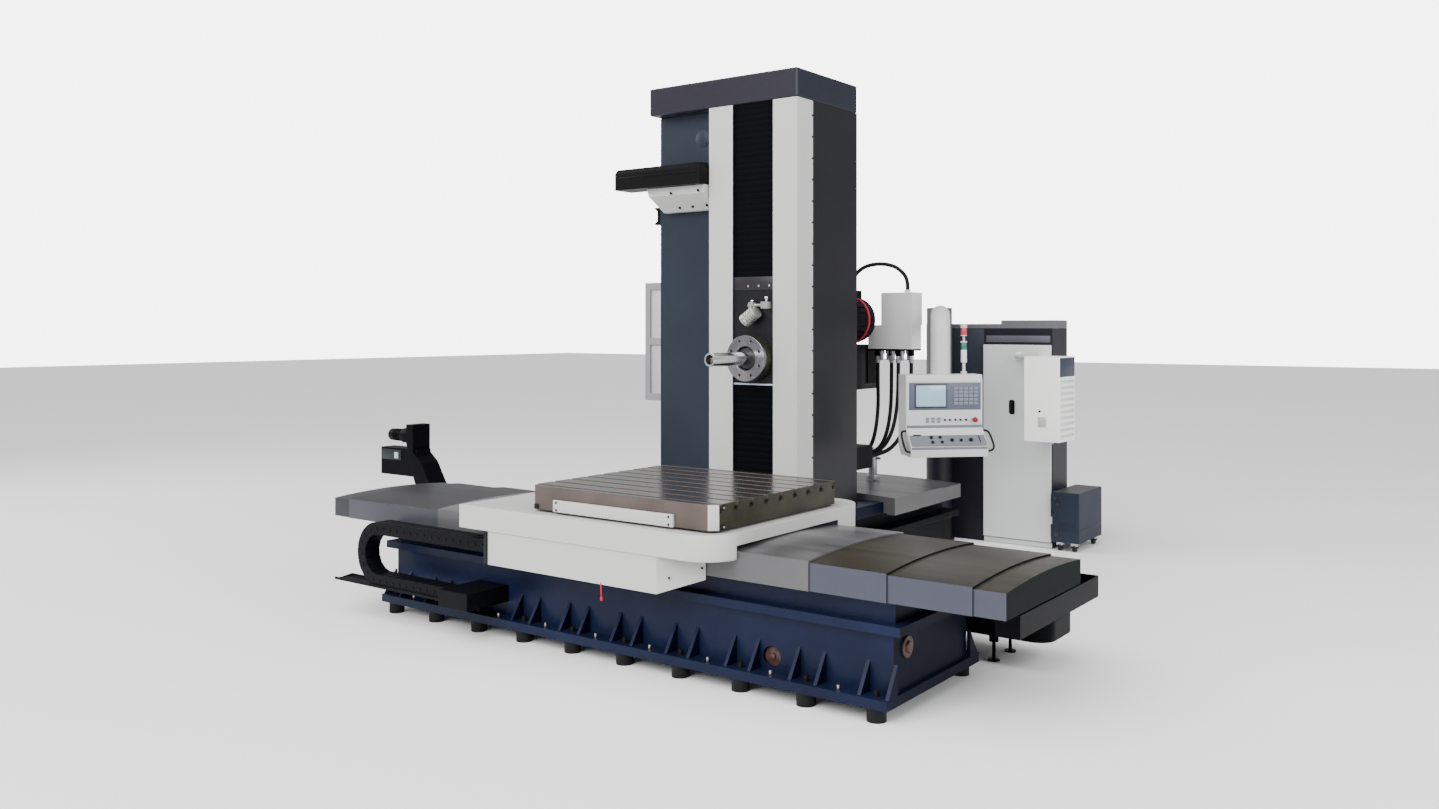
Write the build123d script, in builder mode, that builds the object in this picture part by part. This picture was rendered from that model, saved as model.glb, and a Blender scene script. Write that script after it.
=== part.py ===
from build123d import *
import math
import os

# Horizontal boring mill: a bed along X carries a saddle with a turning table, and a
# column behind it carries the headstock. X runs along the bed, Y away from the operator,
# Z up, floor at Z = 0. Sizes in millimetres, places counted from the bed's middle in X
# and from the front of the bed's flange in Y.

# Overall reach, which sets the origin in the middle of the floor area
BED_HALF = 2094
COVER_OVERHANG = 674
COVER_END = BED_HALF + COVER_OVERHANG
HEAD_REACH = 4120
TRAY_FRONT = -250
CHILLER_BACK = 5920
BED_X = (HEAD_REACH - COVER_END) / 2
BED_Y = -(TRAY_FRONT + CHILLER_BACK) / 2

# Running and seating clearances
SLIDE_GAP = 0.3
SHAFT_GAP = 0.08
FREE_GAP = 6

# Bed under the table
FLANGE_HALF = BED_HALF + 26
RIM_HALF = BED_HALF + 67
BED_DEPTH = 1182
FOOT_HEIGHT = 77
FLANGE_TOP = 133
WALL_INSET = 128
RIM_INSET = 75
RIM_BOTTOM = 465
RIM_TOP = 516
WAY_INSET = 150
WAY_TOP = 650
FOOT_COUNT = 10
FOOT_END = 69
FOOT_PITCH = 2 * (BED_HALF - FOOT_END) / (FOOT_COUNT - 1)
FOOT_INSET = 64
FOOT_RADIUS = 55
RIB_TOP = 300
RIB_TOE = 21
RIB_SPREAD = 85
RIB_WIDTH = 22
PORT_X = 1301
PORT_Z = 209
PORT_RADIUS = 61
PORT_DEPTH = 40

# Telescopic covers over the bed
COVER_INSET = 22
COVER_TOP = 819
COVER_CROWN = 25
COVER_STEP = 10
COVER_WALL = 4
COVER_LIP = 36
SADDLE_LIP = 87
COVER_ENDS = (1564, 2102, 2590)
COVER_LENGTHS = (866, 966, 980)
FIXED_LENGTH = 390
ARM_WIDTH = 50
ARM_HEIGHT = 60

# Saddle
SADDLE_X = 52
SADDLE_HALF = 698
SADDLE_INSET = 62
TRAY_HALF = 1081
TRAY_Y = (-200, 1560)
TRAY_BOTTOM = 770
TRAY_TOP = 925
TRAY_WALL = 6
TRAY_CORNER = 230
SKIRT_BOTTOM = 548
SKIRT_END_BOTTOM = 625
SKIRT_X = (-757, 693)
SKIRT_CORNER = (905, 14)
TURNTABLE_RADIUS = 560

# Table
TABLE_X = 306
TABLE_Y = BED_DEPTH / 2
TABLE_LENGTH = 1509
TABLE_WIDTH = 1399
TABLE_BOTTOM = 940
TABLE_TOP = 1094
TABLE_CHAMFER = 50
SLOT_COUNT = 9
SLOT_PITCH = 160
SLOT_NECK = 28
SLOT_NECK_DEPTH = 30
SLOT_FOOT = 50
SLOT_FOOT_DEPTH = 22
PLATE_X = (-217, 767)
PLATE_TOP = 1016
PLATE_THICK = 20

# Column and the bed that it stands on
COLUMN_X = (-871, 519)
COLUMN_Y = (1756, 2490)
COLUMN_BOTTOM = 740
COLUMN_TOP = 3798
CAP_TOP = 4014
CAP_FRONT = 1620
WINDOW_HALF = 285
WINDOW_Z = (960, 3700)
SLIDE_MARGIN = 120
SLIDE_Y = (1640, 2700)
REAR_BED_Y = (1920, 4050)
REAR_BED_HALF = 840
REAR_COVER_HALF = 916
REAR_COVER_END = 3950
REAR_COVER_TOP = 775

# Ways on the column and their white covers
SPINDLE_X = 124
SPINDLE_Z = 1893
WAY_FRONT = 1656
WAY_WIDTH = 92
WAY_COVER_WALL = 6
WAY_COVER_LEFT = (-280, -58)
WAY_COVER_RIGHT = (307, 519)
WAY_COVER_RETURN = 1838
CURTAIN_HALF = 270
CURTAIN_THICK = 5

# Headstock
BORE_END = 100
HEAD_BOTTOM = 1691
HEAD_TOP = 2500
PLATE_DEPTH = 20
NECK_HALF = 275
HEAD_BACK = 2780
SHELF_BACK = 3400
SHELF_TOP = 1975
SHELF_BOTTOM = 1600
SHELF_X = (-100, 217)
FLANGE_FRONT = 1524
FLANGE_RADIUS = 170
BOSS_RADIUS = 176
SLEEVE_RADIUS = 76
BAR_RADIUS = 50
BAR_TIP = 1090
BAR_LENGTH = 1300
MOTOR_RADIUS = 200
MOTOR_LENGTH = 380
MOTOR_Z = 2185

# Junction box behind the column and the hoses that hang from it
BOX_X = (229, 642)
BOX_Y = (3180, 3350)
BOX_Z = (1940, 2141)
UPPER_BOX_X = (353, 651)
UPPER_BOX_TOP = 2412
GLAND_RADIUS = 26
GLAND_LENGTH = 45
HOSE_DIAMETER = 34
CONDUIT_DIAMETER = 36
TERMINAL_X = (330, 515)
TERMINAL_DEPTH = 250
TERMINAL_Z = (1000, 1180)

# Tool changer rail on the column's left shoulder
RAIL_X = (-1133, -290)
RAIL_Y = (1500, 1700)
RAIL_Z = (3215, 3382)
BRACKET_X = (-860, -290)
BRACKET_BOTTOM = 3030

# Guard panel at the column's left side
GUARD_LEFT = -1492
GUARD_Y = 2300
GUARD_Z = (1488, 2508)
GUARD_FRAME = 60
GUARD_DEPTH = 40

# Chain loop in its tray
CHAIN_Y = (-176, -46)
CHAIN_CENTRE = (-1940, 474)
CHAIN_RADIUS = 234
CHAIN_HEIGHT = 90
LINK_PITCH = 75
LINK_GROOVE = 5
CHAIN_UPPER_END = -640
CHAIN_LOWER_END = -1183
CHAIN_BOX_END = -896
CHAIN_BOX_Z = (222, 338)
TRAY_TIP = -2434
TRAY_SHEET = 5

# Chip conveyor between the two beds
CONVEYOR_Y = (1400, 1880)
CONVEYOR_Z = (185, 330)
CONVEYOR_X = (-2860, 2475)
CONVEYOR_CORNER = 120
LIFT_Y = (1500, 1700)
LIFT_RISE = [(-3150, 430), (-3317, 588), (-3401, 693), (-3514, 872), (-3628, 959), (-3628, 1215)]
LIFT_FALL = [(-3729, 1215), (-3729, 1045), (-3686, 890), (-3607, 684), (-3459, 500), (-3060, 185)]

# Control cabinet, its cooler and the oil chiller
CABINET_X = (-316, 1012)
CABINET_Y = (5370, 5770)
CABINET_TOP = 2110
CABINET_ROOF = 2190
CABINET_WALL = 20
DOOR_X = (320, 1006)
DOOR_Z = (60, 1950)
DOOR_THICK = 30
COOLER_X = (900, 1240)
COOLER_DEPTH = 400
COOLER_Z = (1062, 1849)
HINGE_OUT = 10
CHILLER_X = (1042, 1302)
CHILLER_Y = (5280, CHILLER_BACK)
CHILLER_Z = (85, 560)
CASTOR_RADIUS = 38

# Pendant on its swinging arm
POST_X = -94
POST_Y = 5214
POST_RADIUS = 125
POST_TOP = 2140
ARM_RADIUS = 75
ARM_Z = 2220
ARM_SPAN = (1180, -2423)
PENDANT_WIDTH = 612
PENDANT_Z = (1139, 1759)
PENDANT_TURN = -45

os.makedirs("parts", exist_ok=True)


def level(z):
    """Horizontal plane at height z, with the bed's middle as its origin."""
    return Plane(origin=(BED_X, BED_Y, z))


def front(y):
    """Upright plane across the machine at depth y. It extrudes towards the operator."""
    return Plane(origin=(BED_X, BED_Y + y, 0), x_dir=(1, 0, 0), z_dir=(0, -1, 0))


def side(x):
    """Upright plane along the machine's depth at x. It extrudes towards +X."""
    return Plane(origin=(BED_X + x, BED_Y, 0), x_dir=(0, 1, 0), z_dir=(1, 0, 0))


def slab(x, y, z, mode=Mode.ADD):
    """Plain plate or block between two X, two Y and two Z values."""
    with BuildSketch(level(z[0])) as outline:
        with Locations(((x[0] + x[1]) / 2, (y[0] + y[1]) / 2)):
            Rectangle(x[1] - x[0], y[1] - y[0])
    extrude(outline.sketch, amount=z[1] - z[0], mode=mode)


def disc(plane, centre, radius, amount, mode=Mode.ADD):
    """Round bar or hole on a plane, from its centre in that plane."""
    with BuildSketch(plane) as circle:
        with Locations(centre):
            Circle(radius)
    extrude(circle.sketch, amount=amount, mode=mode)


def prism(plane, points, amount, mode=Mode.ADD):
    """Straight prism over a closed outline."""
    with BuildSketch(plane) as outline:
        with BuildLine():
            Polyline(*points, close=True)
        make_face()
    extrude(outline.sketch, amount=amount, mode=mode)


# Bed: a cast box with a foot flange, a drip rim, the slideways and ribs at each foot
BED_MIDDLE = BED_DEPTH / 2
FOOT_XS = [(i - (FOOT_COUNT - 1) / 2) * FOOT_PITCH for i in range(FOOT_COUNT)]
with BuildPart() as x_bed:
    slab((-FLANGE_HALF, FLANGE_HALF), (0, BED_DEPTH), (FOOT_HEIGHT, FLANGE_TOP))
    slab((-BED_HALF, BED_HALF), (WALL_INSET, BED_DEPTH - WALL_INSET), (FLANGE_TOP, RIM_BOTTOM))
    slab((-RIM_HALF, RIM_HALF), (RIM_INSET, BED_DEPTH - RIM_INSET), (RIM_BOTTOM, RIM_TOP))
    slab((-BED_HALF, BED_HALF), (WAY_INSET, BED_DEPTH - WAY_INSET), (RIM_TOP, WAY_TOP))
    rib_outline = [(RIB_TOE, FLANGE_TOP), (WALL_INSET, FLANGE_TOP), (WALL_INSET, RIB_TOP)]
    for rib_x in [foot_x + shift for foot_x in FOOT_XS for shift in (-RIB_SPREAD, RIB_SPREAD)]:
        rib_side = side(rib_x - RIB_WIDTH / 2)
        if not CHAIN_LOWER_END - RIB_WIDTH < rib_x < CHAIN_BOX_END + RIB_WIDTH:
            prism(rib_side, rib_outline, RIB_WIDTH)
        prism(rib_side, [(BED_DEPTH - y, z) for y, z in rib_outline], RIB_WIDTH)
    disc(front(WALL_INSET), (PORT_X, PORT_Z), PORT_RADIUS, -PORT_DEPTH, Mode.SUBTRACT)
x_bed.part.label = "x_bed"
export_step(x_bed.part, "parts/x_bed.step")

# Bed of the column: the same casting turned, a little wider
COLUMN_MIDDLE = (COLUMN_X[0] + COLUMN_X[1]) / 2
REAR_FLANGE = REAR_BED_HALF + WALL_INSET - RIM_INSET


def about_column(half):
    return (COLUMN_MIDDLE - half, COLUMN_MIDDLE + half)


with BuildPart() as z_bed:
    slab(about_column(REAR_FLANGE), REAR_BED_Y, (FOOT_HEIGHT, FLANGE_TOP))
    wall_y = (REAR_BED_Y[0], REAR_BED_Y[1] - (FLANGE_HALF - BED_HALF))
    slab(about_column(REAR_BED_HALF - RIM_INSET), wall_y, (FLANGE_TOP, RIM_BOTTOM))
    slab(about_column(REAR_BED_HALF), REAR_BED_Y, (RIM_BOTTOM, RIM_TOP))
    slab(about_column(REAR_BED_HALF - WAY_INSET), wall_y, (RIM_TOP, WAY_TOP))
z_bed.part.label = "z_bed"
export_step(z_bed.part, "parts/z_bed.step")

# Levelling feet: a round pad under each flange and its screw head on top
REAR_FOOT_PITCH = 380
REAR_FOOT_COUNT = 6
rear_foot_ys = [
    (REAR_BED_Y[0] + REAR_BED_Y[1]) / 2 + (i - (REAR_FOOT_COUNT - 1) / 2) * REAR_FOOT_PITCH
    for i in range(REAR_FOOT_COUNT)
]
foot_places = [(x, y) for x in FOOT_XS for y in (FOOT_INSET, BED_DEPTH - FOOT_INSET)]
rear_foot_xs = about_column(REAR_FLANGE - FOOT_RADIUS)
foot_places += [(x, y) for x in rear_foot_xs for y in rear_foot_ys]
SCREW_RADIUS = 16
SCREW_HEIGHT = 34
with BuildPart() as levelling_feet:
    for place in foot_places:
        disc(level(0), place, FOOT_RADIUS, FOOT_HEIGHT)
        disc(level(FLANGE_TOP), place, SCREW_RADIUS, SCREW_HEIGHT)
levelling_feet.part.label = "levelling_feet"
export_step(levelling_feet.part, "parts/levelling_feet.step")


def cover_outline(plane, inset, wall=0):
    """Section of a cover leaf across the bed: upright sides under a crowned top."""
    low = COVER_INSET + inset + wall
    high = BED_DEPTH - COVER_INSET - inset - wall
    top = COVER_TOP - inset - wall
    with BuildSketch(plane) as section:
        with BuildLine():
            Polyline((low, top), (low, WAY_TOP), (high, WAY_TOP), (high, top))
            ThreePointArc((high, top), ((low + high) / 2, top + COVER_CROWN), (low, top))
        make_face()
    return section.sketch


def cover_leaf(step, inner, outer, lip):
    """Leaf from its inner end to its outer end, with a wiper lip at the outer end."""
    inset = step * COVER_STEP
    direction = 1 if outer > inner else -1
    length = abs(outer - inner)
    wiper = COVER_STEP - SLIDE_GAP
    extrude(cover_outline(side(inner), inset), amount=direction * length)
    hollow = length - lip
    extrude(
        cover_outline(side(inner), inset, COVER_WALL),
        amount=direction * hollow,
        mode=Mode.SUBTRACT,
    )
    extrude(
        cover_outline(side(outer), inset, wiper),
        amount=-direction * lip,
        mode=Mode.SUBTRACT,
    )


def cover_places(step, way):
    """Inner and outer end of a moving leaf at rest, way +1 to the right, -1 to the left."""
    share = COVER_SHARES[step]
    if step == 0:
        outer = way * COVER_ENDS[0] + SADDLE_X
    else:
        outer = way * COVER_ENDS[step] + share * SADDLE_X * (1 - way)
    return outer - way * COVER_LENGTHS[step], outer


# Share of the saddle's travel that each leaf makes
COVER_SHARES = (1, 0.58, 0.15)

# Leaves that are bolted to the saddle's two ends by a closed flange plate
PLATE_CLEAR = 5
with BuildPart() as x_cover_saddle:
    for way in (1, -1):
        inner, outer = cover_places(0, way)
        cover_leaf(0, inner, outer, SADDLE_LIP)
        flange = cover_outline(side(inner), 0)
        extrude(flange, amount=way * COVER_WALL)
        passage = (COVER_INSET + COVER_WALL, BED_DEPTH - COVER_INSET - COVER_WALL)
        ends = sorted((inner, inner + way * COVER_WALL))
        slab(ends, passage, (WAY_TOP, WAY_TOP + PLATE_CLEAR), Mode.SUBTRACT)
x_cover_saddle.part.label = "x_cover_saddle"
export_step(x_cover_saddle.part, "parts/x_cover_saddle.step")

# Two sliding leaves on each side
for step, letter in ((1, "outer"), (2, "inner")):
    for way, hand in ((1, "right"), (-1, "left")):
        with BuildPart() as leaf:
            cover_leaf(step, *cover_places(step, way), COVER_LIP)
        leaf.part.label = f"x_cover_{hand}_{letter}"
        export_step(leaf.part, f"parts/x_cover_{hand}_{letter}.step")

# Last leaves, closed at their ends, which stand on arms from the bed
FIXED_STEP = 3
with BuildPart() as x_cover_fixed:
    for way in (1, -1):
        fixed_inner = way * (COVER_END - FIXED_LENGTH)
        inset = FIXED_STEP * COVER_STEP
        extrude(cover_outline(side(fixed_inner), inset), amount=way * FIXED_LENGTH)
        extrude(
            cover_outline(side(fixed_inner), inset, COVER_WALL),
            amount=way * (FIXED_LENGTH - COVER_WALL),
            mode=Mode.SUBTRACT,
        )
x_cover_fixed.part.label = "x_cover_fixed"
export_step(x_cover_fixed.part, "parts/x_cover_fixed.step")

ARM_SPREAD = 270
CHUTE_INSET = 168
with BuildPart() as cover_arms:
    for way in (1, -1):
        for arm_y in (BED_MIDDLE - ARM_SPREAD, BED_MIDDLE + ARM_SPREAD):
            arm_end = COVER_END - CHUTE_INSET if way > 0 else COVER_END - COVER_WALL
            ends = sorted((way * BED_HALF, way * arm_end))
            across = (arm_y - ARM_WIDTH / 2, arm_y + ARM_WIDTH / 2)
            slab(ends, across, (WAY_TOP - ARM_HEIGHT, WAY_TOP))
cover_arms.part.label = "cover_arms"
export_step(cover_arms.part, "parts/cover_arms.step")

# Saddle casting with the round seat of the table
SADDLE_BOTTOM = WAY_TOP + SLIDE_GAP
PLATE_BOTTOM = TRAY_TOP - TRAY_WALL
with BuildPart() as saddle:
    saddle_x = (SADDLE_X - SADDLE_HALF, SADDLE_X + SADDLE_HALF)
    slab(saddle_x, (SADDLE_INSET, BED_DEPTH - SADDLE_INSET), (SADDLE_BOTTOM, PLATE_BOTTOM))
    disc(
        level(PLATE_BOTTOM),
        (TABLE_X, TABLE_Y),
        TURNTABLE_RADIUS,
        TABLE_BOTTOM - SLIDE_GAP - PLATE_BOTTOM,
    )
saddle.part.label = "saddle"
export_step(saddle.part, "parts/saddle.step")

# White drip tray: a folded sheet with deep edges, open below, cut out for the covers
with BuildPart() as saddle_tray:
    tray_centre = (SADDLE_X, (TRAY_Y[0] + TRAY_Y[1]) / 2)
    for wall, height, mode in (
        (0, TRAY_TOP - TRAY_BOTTOM, Mode.ADD),
        (TRAY_WALL, PLATE_BOTTOM - TRAY_BOTTOM, Mode.SUBTRACT),
    ):
        with BuildSketch(level(TRAY_BOTTOM)) as tray_plan:
            with Locations(tray_centre):
                Rectangle(2 * (TRAY_HALF - wall), TRAY_Y[1] - TRAY_Y[0] - 2 * wall)
            fillet(tray_plan.vertices().group_by(Axis.X)[-1], TRAY_CORNER - wall)
        extrude(tray_plan.sketch, amount=height, mode=mode)
    disc(level(PLATE_BOTTOM), (TABLE_X, TABLE_Y), TURNTABLE_RADIUS, TRAY_WALL, Mode.SUBTRACT)
    cover_gate = (COVER_INSET - FREE_GAP, BED_DEPTH - COVER_INSET + FREE_GAP)
    tray_span = (SADDLE_X - TRAY_HALF, SADDLE_X + TRAY_HALF)
    gate_top = COVER_TOP + COVER_CROWN + FREE_GAP
    slab(tray_span, cover_gate, (TRAY_BOTTOM, gate_top), Mode.SUBTRACT)
saddle_tray.part.label = "saddle_tray"
export_step(saddle_tray.part, "parts/saddle_tray.step")

# White apron in front of the saddle, bent back at its right end, open to the left
APRON_GAP = 4
with BuildPart() as saddle_skirt:
    apron_front = TRAY_Y[0] + TRAY_WALL + APRON_GAP
    apron_back = apron_front + TRAY_WALL
    corner_x, corner_y = SKIRT_CORNER
    slant = TRAY_WALL * math.sqrt(2)
    prism(
        level(SKIRT_BOTTOM),
        [
            (SKIRT_X[0], apron_front),
            (SKIRT_X[1], apron_front),
            (corner_x, corner_y),
            (corner_x - slant, corner_y),
            (SKIRT_X[1] - TRAY_WALL / 2, apron_back),
            (SKIRT_X[0], apron_back),
        ],
        PLATE_BOTTOM - SKIRT_BOTTOM,
    )
    prism(
        front(corner_y + 1),
        [
            (SKIRT_X[1], SKIRT_BOTTOM - 1),
            (corner_x + 1, SKIRT_BOTTOM - 1),
            (corner_x + 1, SKIRT_END_BOTTOM),
            (SKIRT_X[1], SKIRT_BOTTOM),
        ],
        corner_y - apron_front + 2,
        Mode.SUBTRACT,
    )
saddle_skirt.part.label = "saddle_skirt"
export_step(saddle_skirt.part, "parts/saddle_skirt.step")

# Table: a cast plate with cut corners and T-slots along X
with BuildPart() as table:
    with BuildSketch(level(TABLE_BOTTOM)) as plan:
        with Locations((TABLE_X, TABLE_Y)):
            Rectangle(TABLE_LENGTH, TABLE_WIDTH)
        chamfer(plan.vertices(), TABLE_CHAMFER)
    extrude(amount=TABLE_TOP - TABLE_BOTTOM)
    slot_left = TABLE_X - TABLE_LENGTH / 2
    for i in range(SLOT_COUNT):
        slot_y = TABLE_Y + (i - (SLOT_COUNT - 1) / 2) * SLOT_PITCH
        neck_bottom = TABLE_TOP - SLOT_NECK_DEPTH
        foot_bottom = neck_bottom - SLOT_FOOT_DEPTH
        prism(
            side(slot_left),
            [
                (slot_y - SLOT_NECK / 2, TABLE_TOP),
                (slot_y - SLOT_NECK / 2, neck_bottom),
                (slot_y - SLOT_FOOT / 2, neck_bottom),
                (slot_y - SLOT_FOOT / 2, foot_bottom),
                (slot_y + SLOT_FOOT / 2, foot_bottom),
                (slot_y + SLOT_FOOT / 2, neck_bottom),
                (slot_y + SLOT_NECK / 2, neck_bottom),
                (slot_y + SLOT_NECK / 2, TABLE_TOP),
            ],
            TABLE_LENGTH,
            Mode.SUBTRACT,
        )
table.part.label = "table"
export_step(table.part, "parts/table.step")

# White plate screwed to the table's front side
with BuildPart() as table_plate:
    table_front = TABLE_Y - TABLE_WIDTH / 2
    slab(PLATE_X, (table_front - PLATE_THICK, table_front), (TABLE_BOTTOM, PLATE_TOP))
table_plate.part.label = "table_plate"
export_step(table_plate.part, "parts/table_plate.step")

# Slide plate under the column
with BuildPart() as column_slide:
    slide_x = (COLUMN_X[0] - SLIDE_MARGIN, COLUMN_X[1] + SLIDE_MARGIN)
    slab(slide_x, SLIDE_Y, (WAY_TOP, COLUMN_BOTTOM))
column_slide.part.label = "column_slide"
export_step(column_slide.part, "parts/column_slide.step")

# Column: a cast frame with a tall window and the two ways of the headstock
window_x = (SPINDLE_X - WINDOW_HALF, SPINDLE_X + WINDOW_HALF)
left_way = (window_x[0] - WAY_WIDTH, window_x[0])
right_way = (window_x[1], window_x[1] + WAY_WIDTH)
with BuildPart() as column:
    slab(COLUMN_X, COLUMN_Y, (COLUMN_BOTTOM, COLUMN_TOP))
    for way_x in (left_way, right_way):
        slab(way_x, (WAY_FRONT, COLUMN_Y[0]), (COLUMN_BOTTOM, COLUMN_TOP))
    slab(window_x, COLUMN_Y, WINDOW_Z, Mode.SUBTRACT)
    rebate_x = (COLUMN_X[1] - WAY_COVER_WALL, COLUMN_X[1])
    slab(rebate_x, (COLUMN_Y[0], WAY_COVER_RETURN), (COLUMN_BOTTOM, COLUMN_TOP), Mode.SUBTRACT)
column.part.label = "column"
export_step(column.part, "parts/column.step")

with BuildPart() as column_cap:
    slab(COLUMN_X, (CAP_FRONT, COLUMN_Y[1]), (COLUMN_TOP, CAP_TOP))
column_cap.part.label = "column_cap"
export_step(column_cap.part, "parts/column_cap.step")

# White way covers: tall folded channels in front of the ways
way_cover_z = (COLUMN_BOTTOM, COLUMN_TOP)
way_cover_front = (CAP_FRONT, CAP_FRONT + WAY_COVER_WALL)
with BuildPart() as way_cover_left:
    slab(WAY_COVER_LEFT, way_cover_front, way_cover_z)
    outer_x = (WAY_COVER_LEFT[0], WAY_COVER_LEFT[0] + WAY_COVER_WALL)
    slab(outer_x, (CAP_FRONT, COLUMN_Y[0]), way_cover_z)
way_cover_left.part.label = "way_cover_left"
export_step(way_cover_left.part, "parts/way_cover_left.step")

with BuildPart() as way_cover_right:
    slab(WAY_COVER_RIGHT, way_cover_front, way_cover_z)
    outer_x = (WAY_COVER_RIGHT[1] - WAY_COVER_WALL, WAY_COVER_RIGHT[1])
    slab(outer_x, (CAP_FRONT, WAY_COVER_RETURN), way_cover_z)
way_cover_right.part.label = "way_cover_right"
export_step(way_cover_right.part, "parts/way_cover_right.step")

# Black roll-up curtains above and below the headstock
head_front = WAY_FRONT - SLIDE_GAP - PLATE_DEPTH
curtain_x = (SPINDLE_X - CURTAIN_HALF, SPINDLE_X + CURTAIN_HALF)
curtain_y = (head_front, head_front + CURTAIN_THICK)
with BuildPart() as curtain_upper:
    slab(curtain_x, curtain_y, (HEAD_TOP, COLUMN_TOP))
curtain_upper.part.label = "curtain_upper"
export_step(curtain_upper.part, "parts/curtain_upper.step")

with BuildPart() as curtain_lower:
    slab(curtain_x, curtain_y, (COLUMN_BOTTOM, HEAD_BOTTOM))
curtain_lower.part.label = "curtain_lower"
export_step(curtain_lower.part, "parts/curtain_lower.step")

# Headstock: a face plate on the ways, a neck through the window and the drive behind it
plate_half = WINDOW_HALF + WAY_WIDTH
with BuildPart() as headstock:
    slab(
        (SPINDLE_X - plate_half, SPINDLE_X + plate_half),
        (head_front, WAY_FRONT - SLIDE_GAP),
        (HEAD_BOTTOM, HEAD_TOP),
    )
    neck_x = (SPINDLE_X - NECK_HALF, SPINDLE_X + NECK_HALF)
    slab(neck_x, (WAY_FRONT - SLIDE_GAP, COLUMN_Y[1]), (HEAD_BOTTOM, HEAD_TOP))
    rear_x = (SHELF_X[0], SPINDLE_X + MOTOR_RADIUS)
    slab(rear_x, (COLUMN_Y[1], HEAD_BACK), (SHELF_TOP, HEAD_TOP))
    slab(SHELF_X, (COLUMN_Y[1], SHELF_BACK), (SHELF_BOTTOM, SHELF_TOP))
    disc(
        front(head_front),
        (SPINDLE_X, SPINDLE_Z),
        SLEEVE_RADIUS + FREE_GAP,
        -(SHELF_BACK - head_front - BORE_END),
        Mode.SUBTRACT,
    )
headstock.part.label = "headstock"
export_step(headstock.part, "parts/headstock.step")

# Spindle housing: a cast cone with a ground nose flange
RECESS_RADIUS = 92
NOSE_THICK = 36
NOSE_STEP = 5
BOLT_COUNT = 8
BOLT_CIRCLE = 135
BOLT_RADIUS = 11
bolt_places = [
    (
        SPINDLE_X + BOLT_CIRCLE * math.cos(math.tau * (i + 0.5) / BOLT_COUNT),
        SPINDLE_Z + BOLT_CIRCLE * math.sin(math.tau * (i + 0.5) / BOLT_COUNT),
    )
    for i in range(BOLT_COUNT)
]
with BuildPart() as spindle_housing:
    with BuildSketch(side(SPINDLE_X)):
        with BuildLine():
            Polyline(
                (head_front, SPINDLE_Z + SLEEVE_RADIUS + SHAFT_GAP),
                (head_front, SPINDLE_Z + BOSS_RADIUS),
                (FLANGE_FRONT + NOSE_THICK, SPINDLE_Z + FLANGE_RADIUS - NOSE_STEP),
                (FLANGE_FRONT + NOSE_THICK, SPINDLE_Z + FLANGE_RADIUS),
                (FLANGE_FRONT, SPINDLE_Z + FLANGE_RADIUS),
                (FLANGE_FRONT, SPINDLE_Z + RECESS_RADIUS),
                (FLANGE_FRONT + NOSE_THICK, SPINDLE_Z + SLEEVE_RADIUS + SHAFT_GAP),
                close=True,
            )
        make_face()
    spindle_axis = Axis((BED_X + SPINDLE_X, BED_Y, SPINDLE_Z), (0, 1, 0))
    revolve(axis=spindle_axis)
    for place in bolt_places:
        disc(front(FLANGE_FRONT), place, BOLT_RADIUS, -NOSE_THICK / 2, Mode.SUBTRACT)
spindle_housing.part.label = "spindle_housing"
export_step(spindle_housing.part, "parts/spindle_housing.step")

# Rotating spindle sleeve, set back inside the nose
SLEEVE_SETBACK = 20
SLEEVE_BACK = 1980
sleeve_front = FLANGE_FRONT + SLEEVE_SETBACK
with BuildPart() as spindle_sleeve:
    disc(front(sleeve_front), (SPINDLE_X, SPINDLE_Z), SLEEVE_RADIUS, -(SLEEVE_BACK - sleeve_front))
    disc(
        front(sleeve_front),
        (SPINDLE_X, SPINDLE_Z),
        BAR_RADIUS + SHAFT_GAP,
        -(SLEEVE_BACK - sleeve_front),
        Mode.SUBTRACT,
    )
spindle_sleeve.part.label = "spindle_sleeve"
export_step(spindle_sleeve.part, "parts/spindle_sleeve.step")

# Boring bar with its steep taper socket and drive keys
TAPER_MOUTH = 35
TAPER_END = 21
TAPER_DEPTH = 96
with BuildPart() as boring_bar:
    disc(front(BAR_TIP), (SPINDLE_X, SPINDLE_Z), BAR_RADIUS, -BAR_LENGTH)
    with BuildSketch(front(BAR_TIP)) as mouth:
        with Locations((SPINDLE_X, SPINDLE_Z)):
            Circle(TAPER_MOUTH)
    with BuildSketch(front(BAR_TIP + TAPER_DEPTH)) as bottom:
        with Locations((SPINDLE_X, SPINDLE_Z)):
            Circle(TAPER_END)
    loft([mouth.sketch, bottom.sketch], mode=Mode.SUBTRACT)
    chamfer(boring_bar.edges().group_by(Axis.Y)[0].sort_by(SortBy.RADIUS)[-1], 4)
boring_bar.part.label = "boring_bar"
export_step(boring_bar.part, "parts/boring_bar.step")

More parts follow.
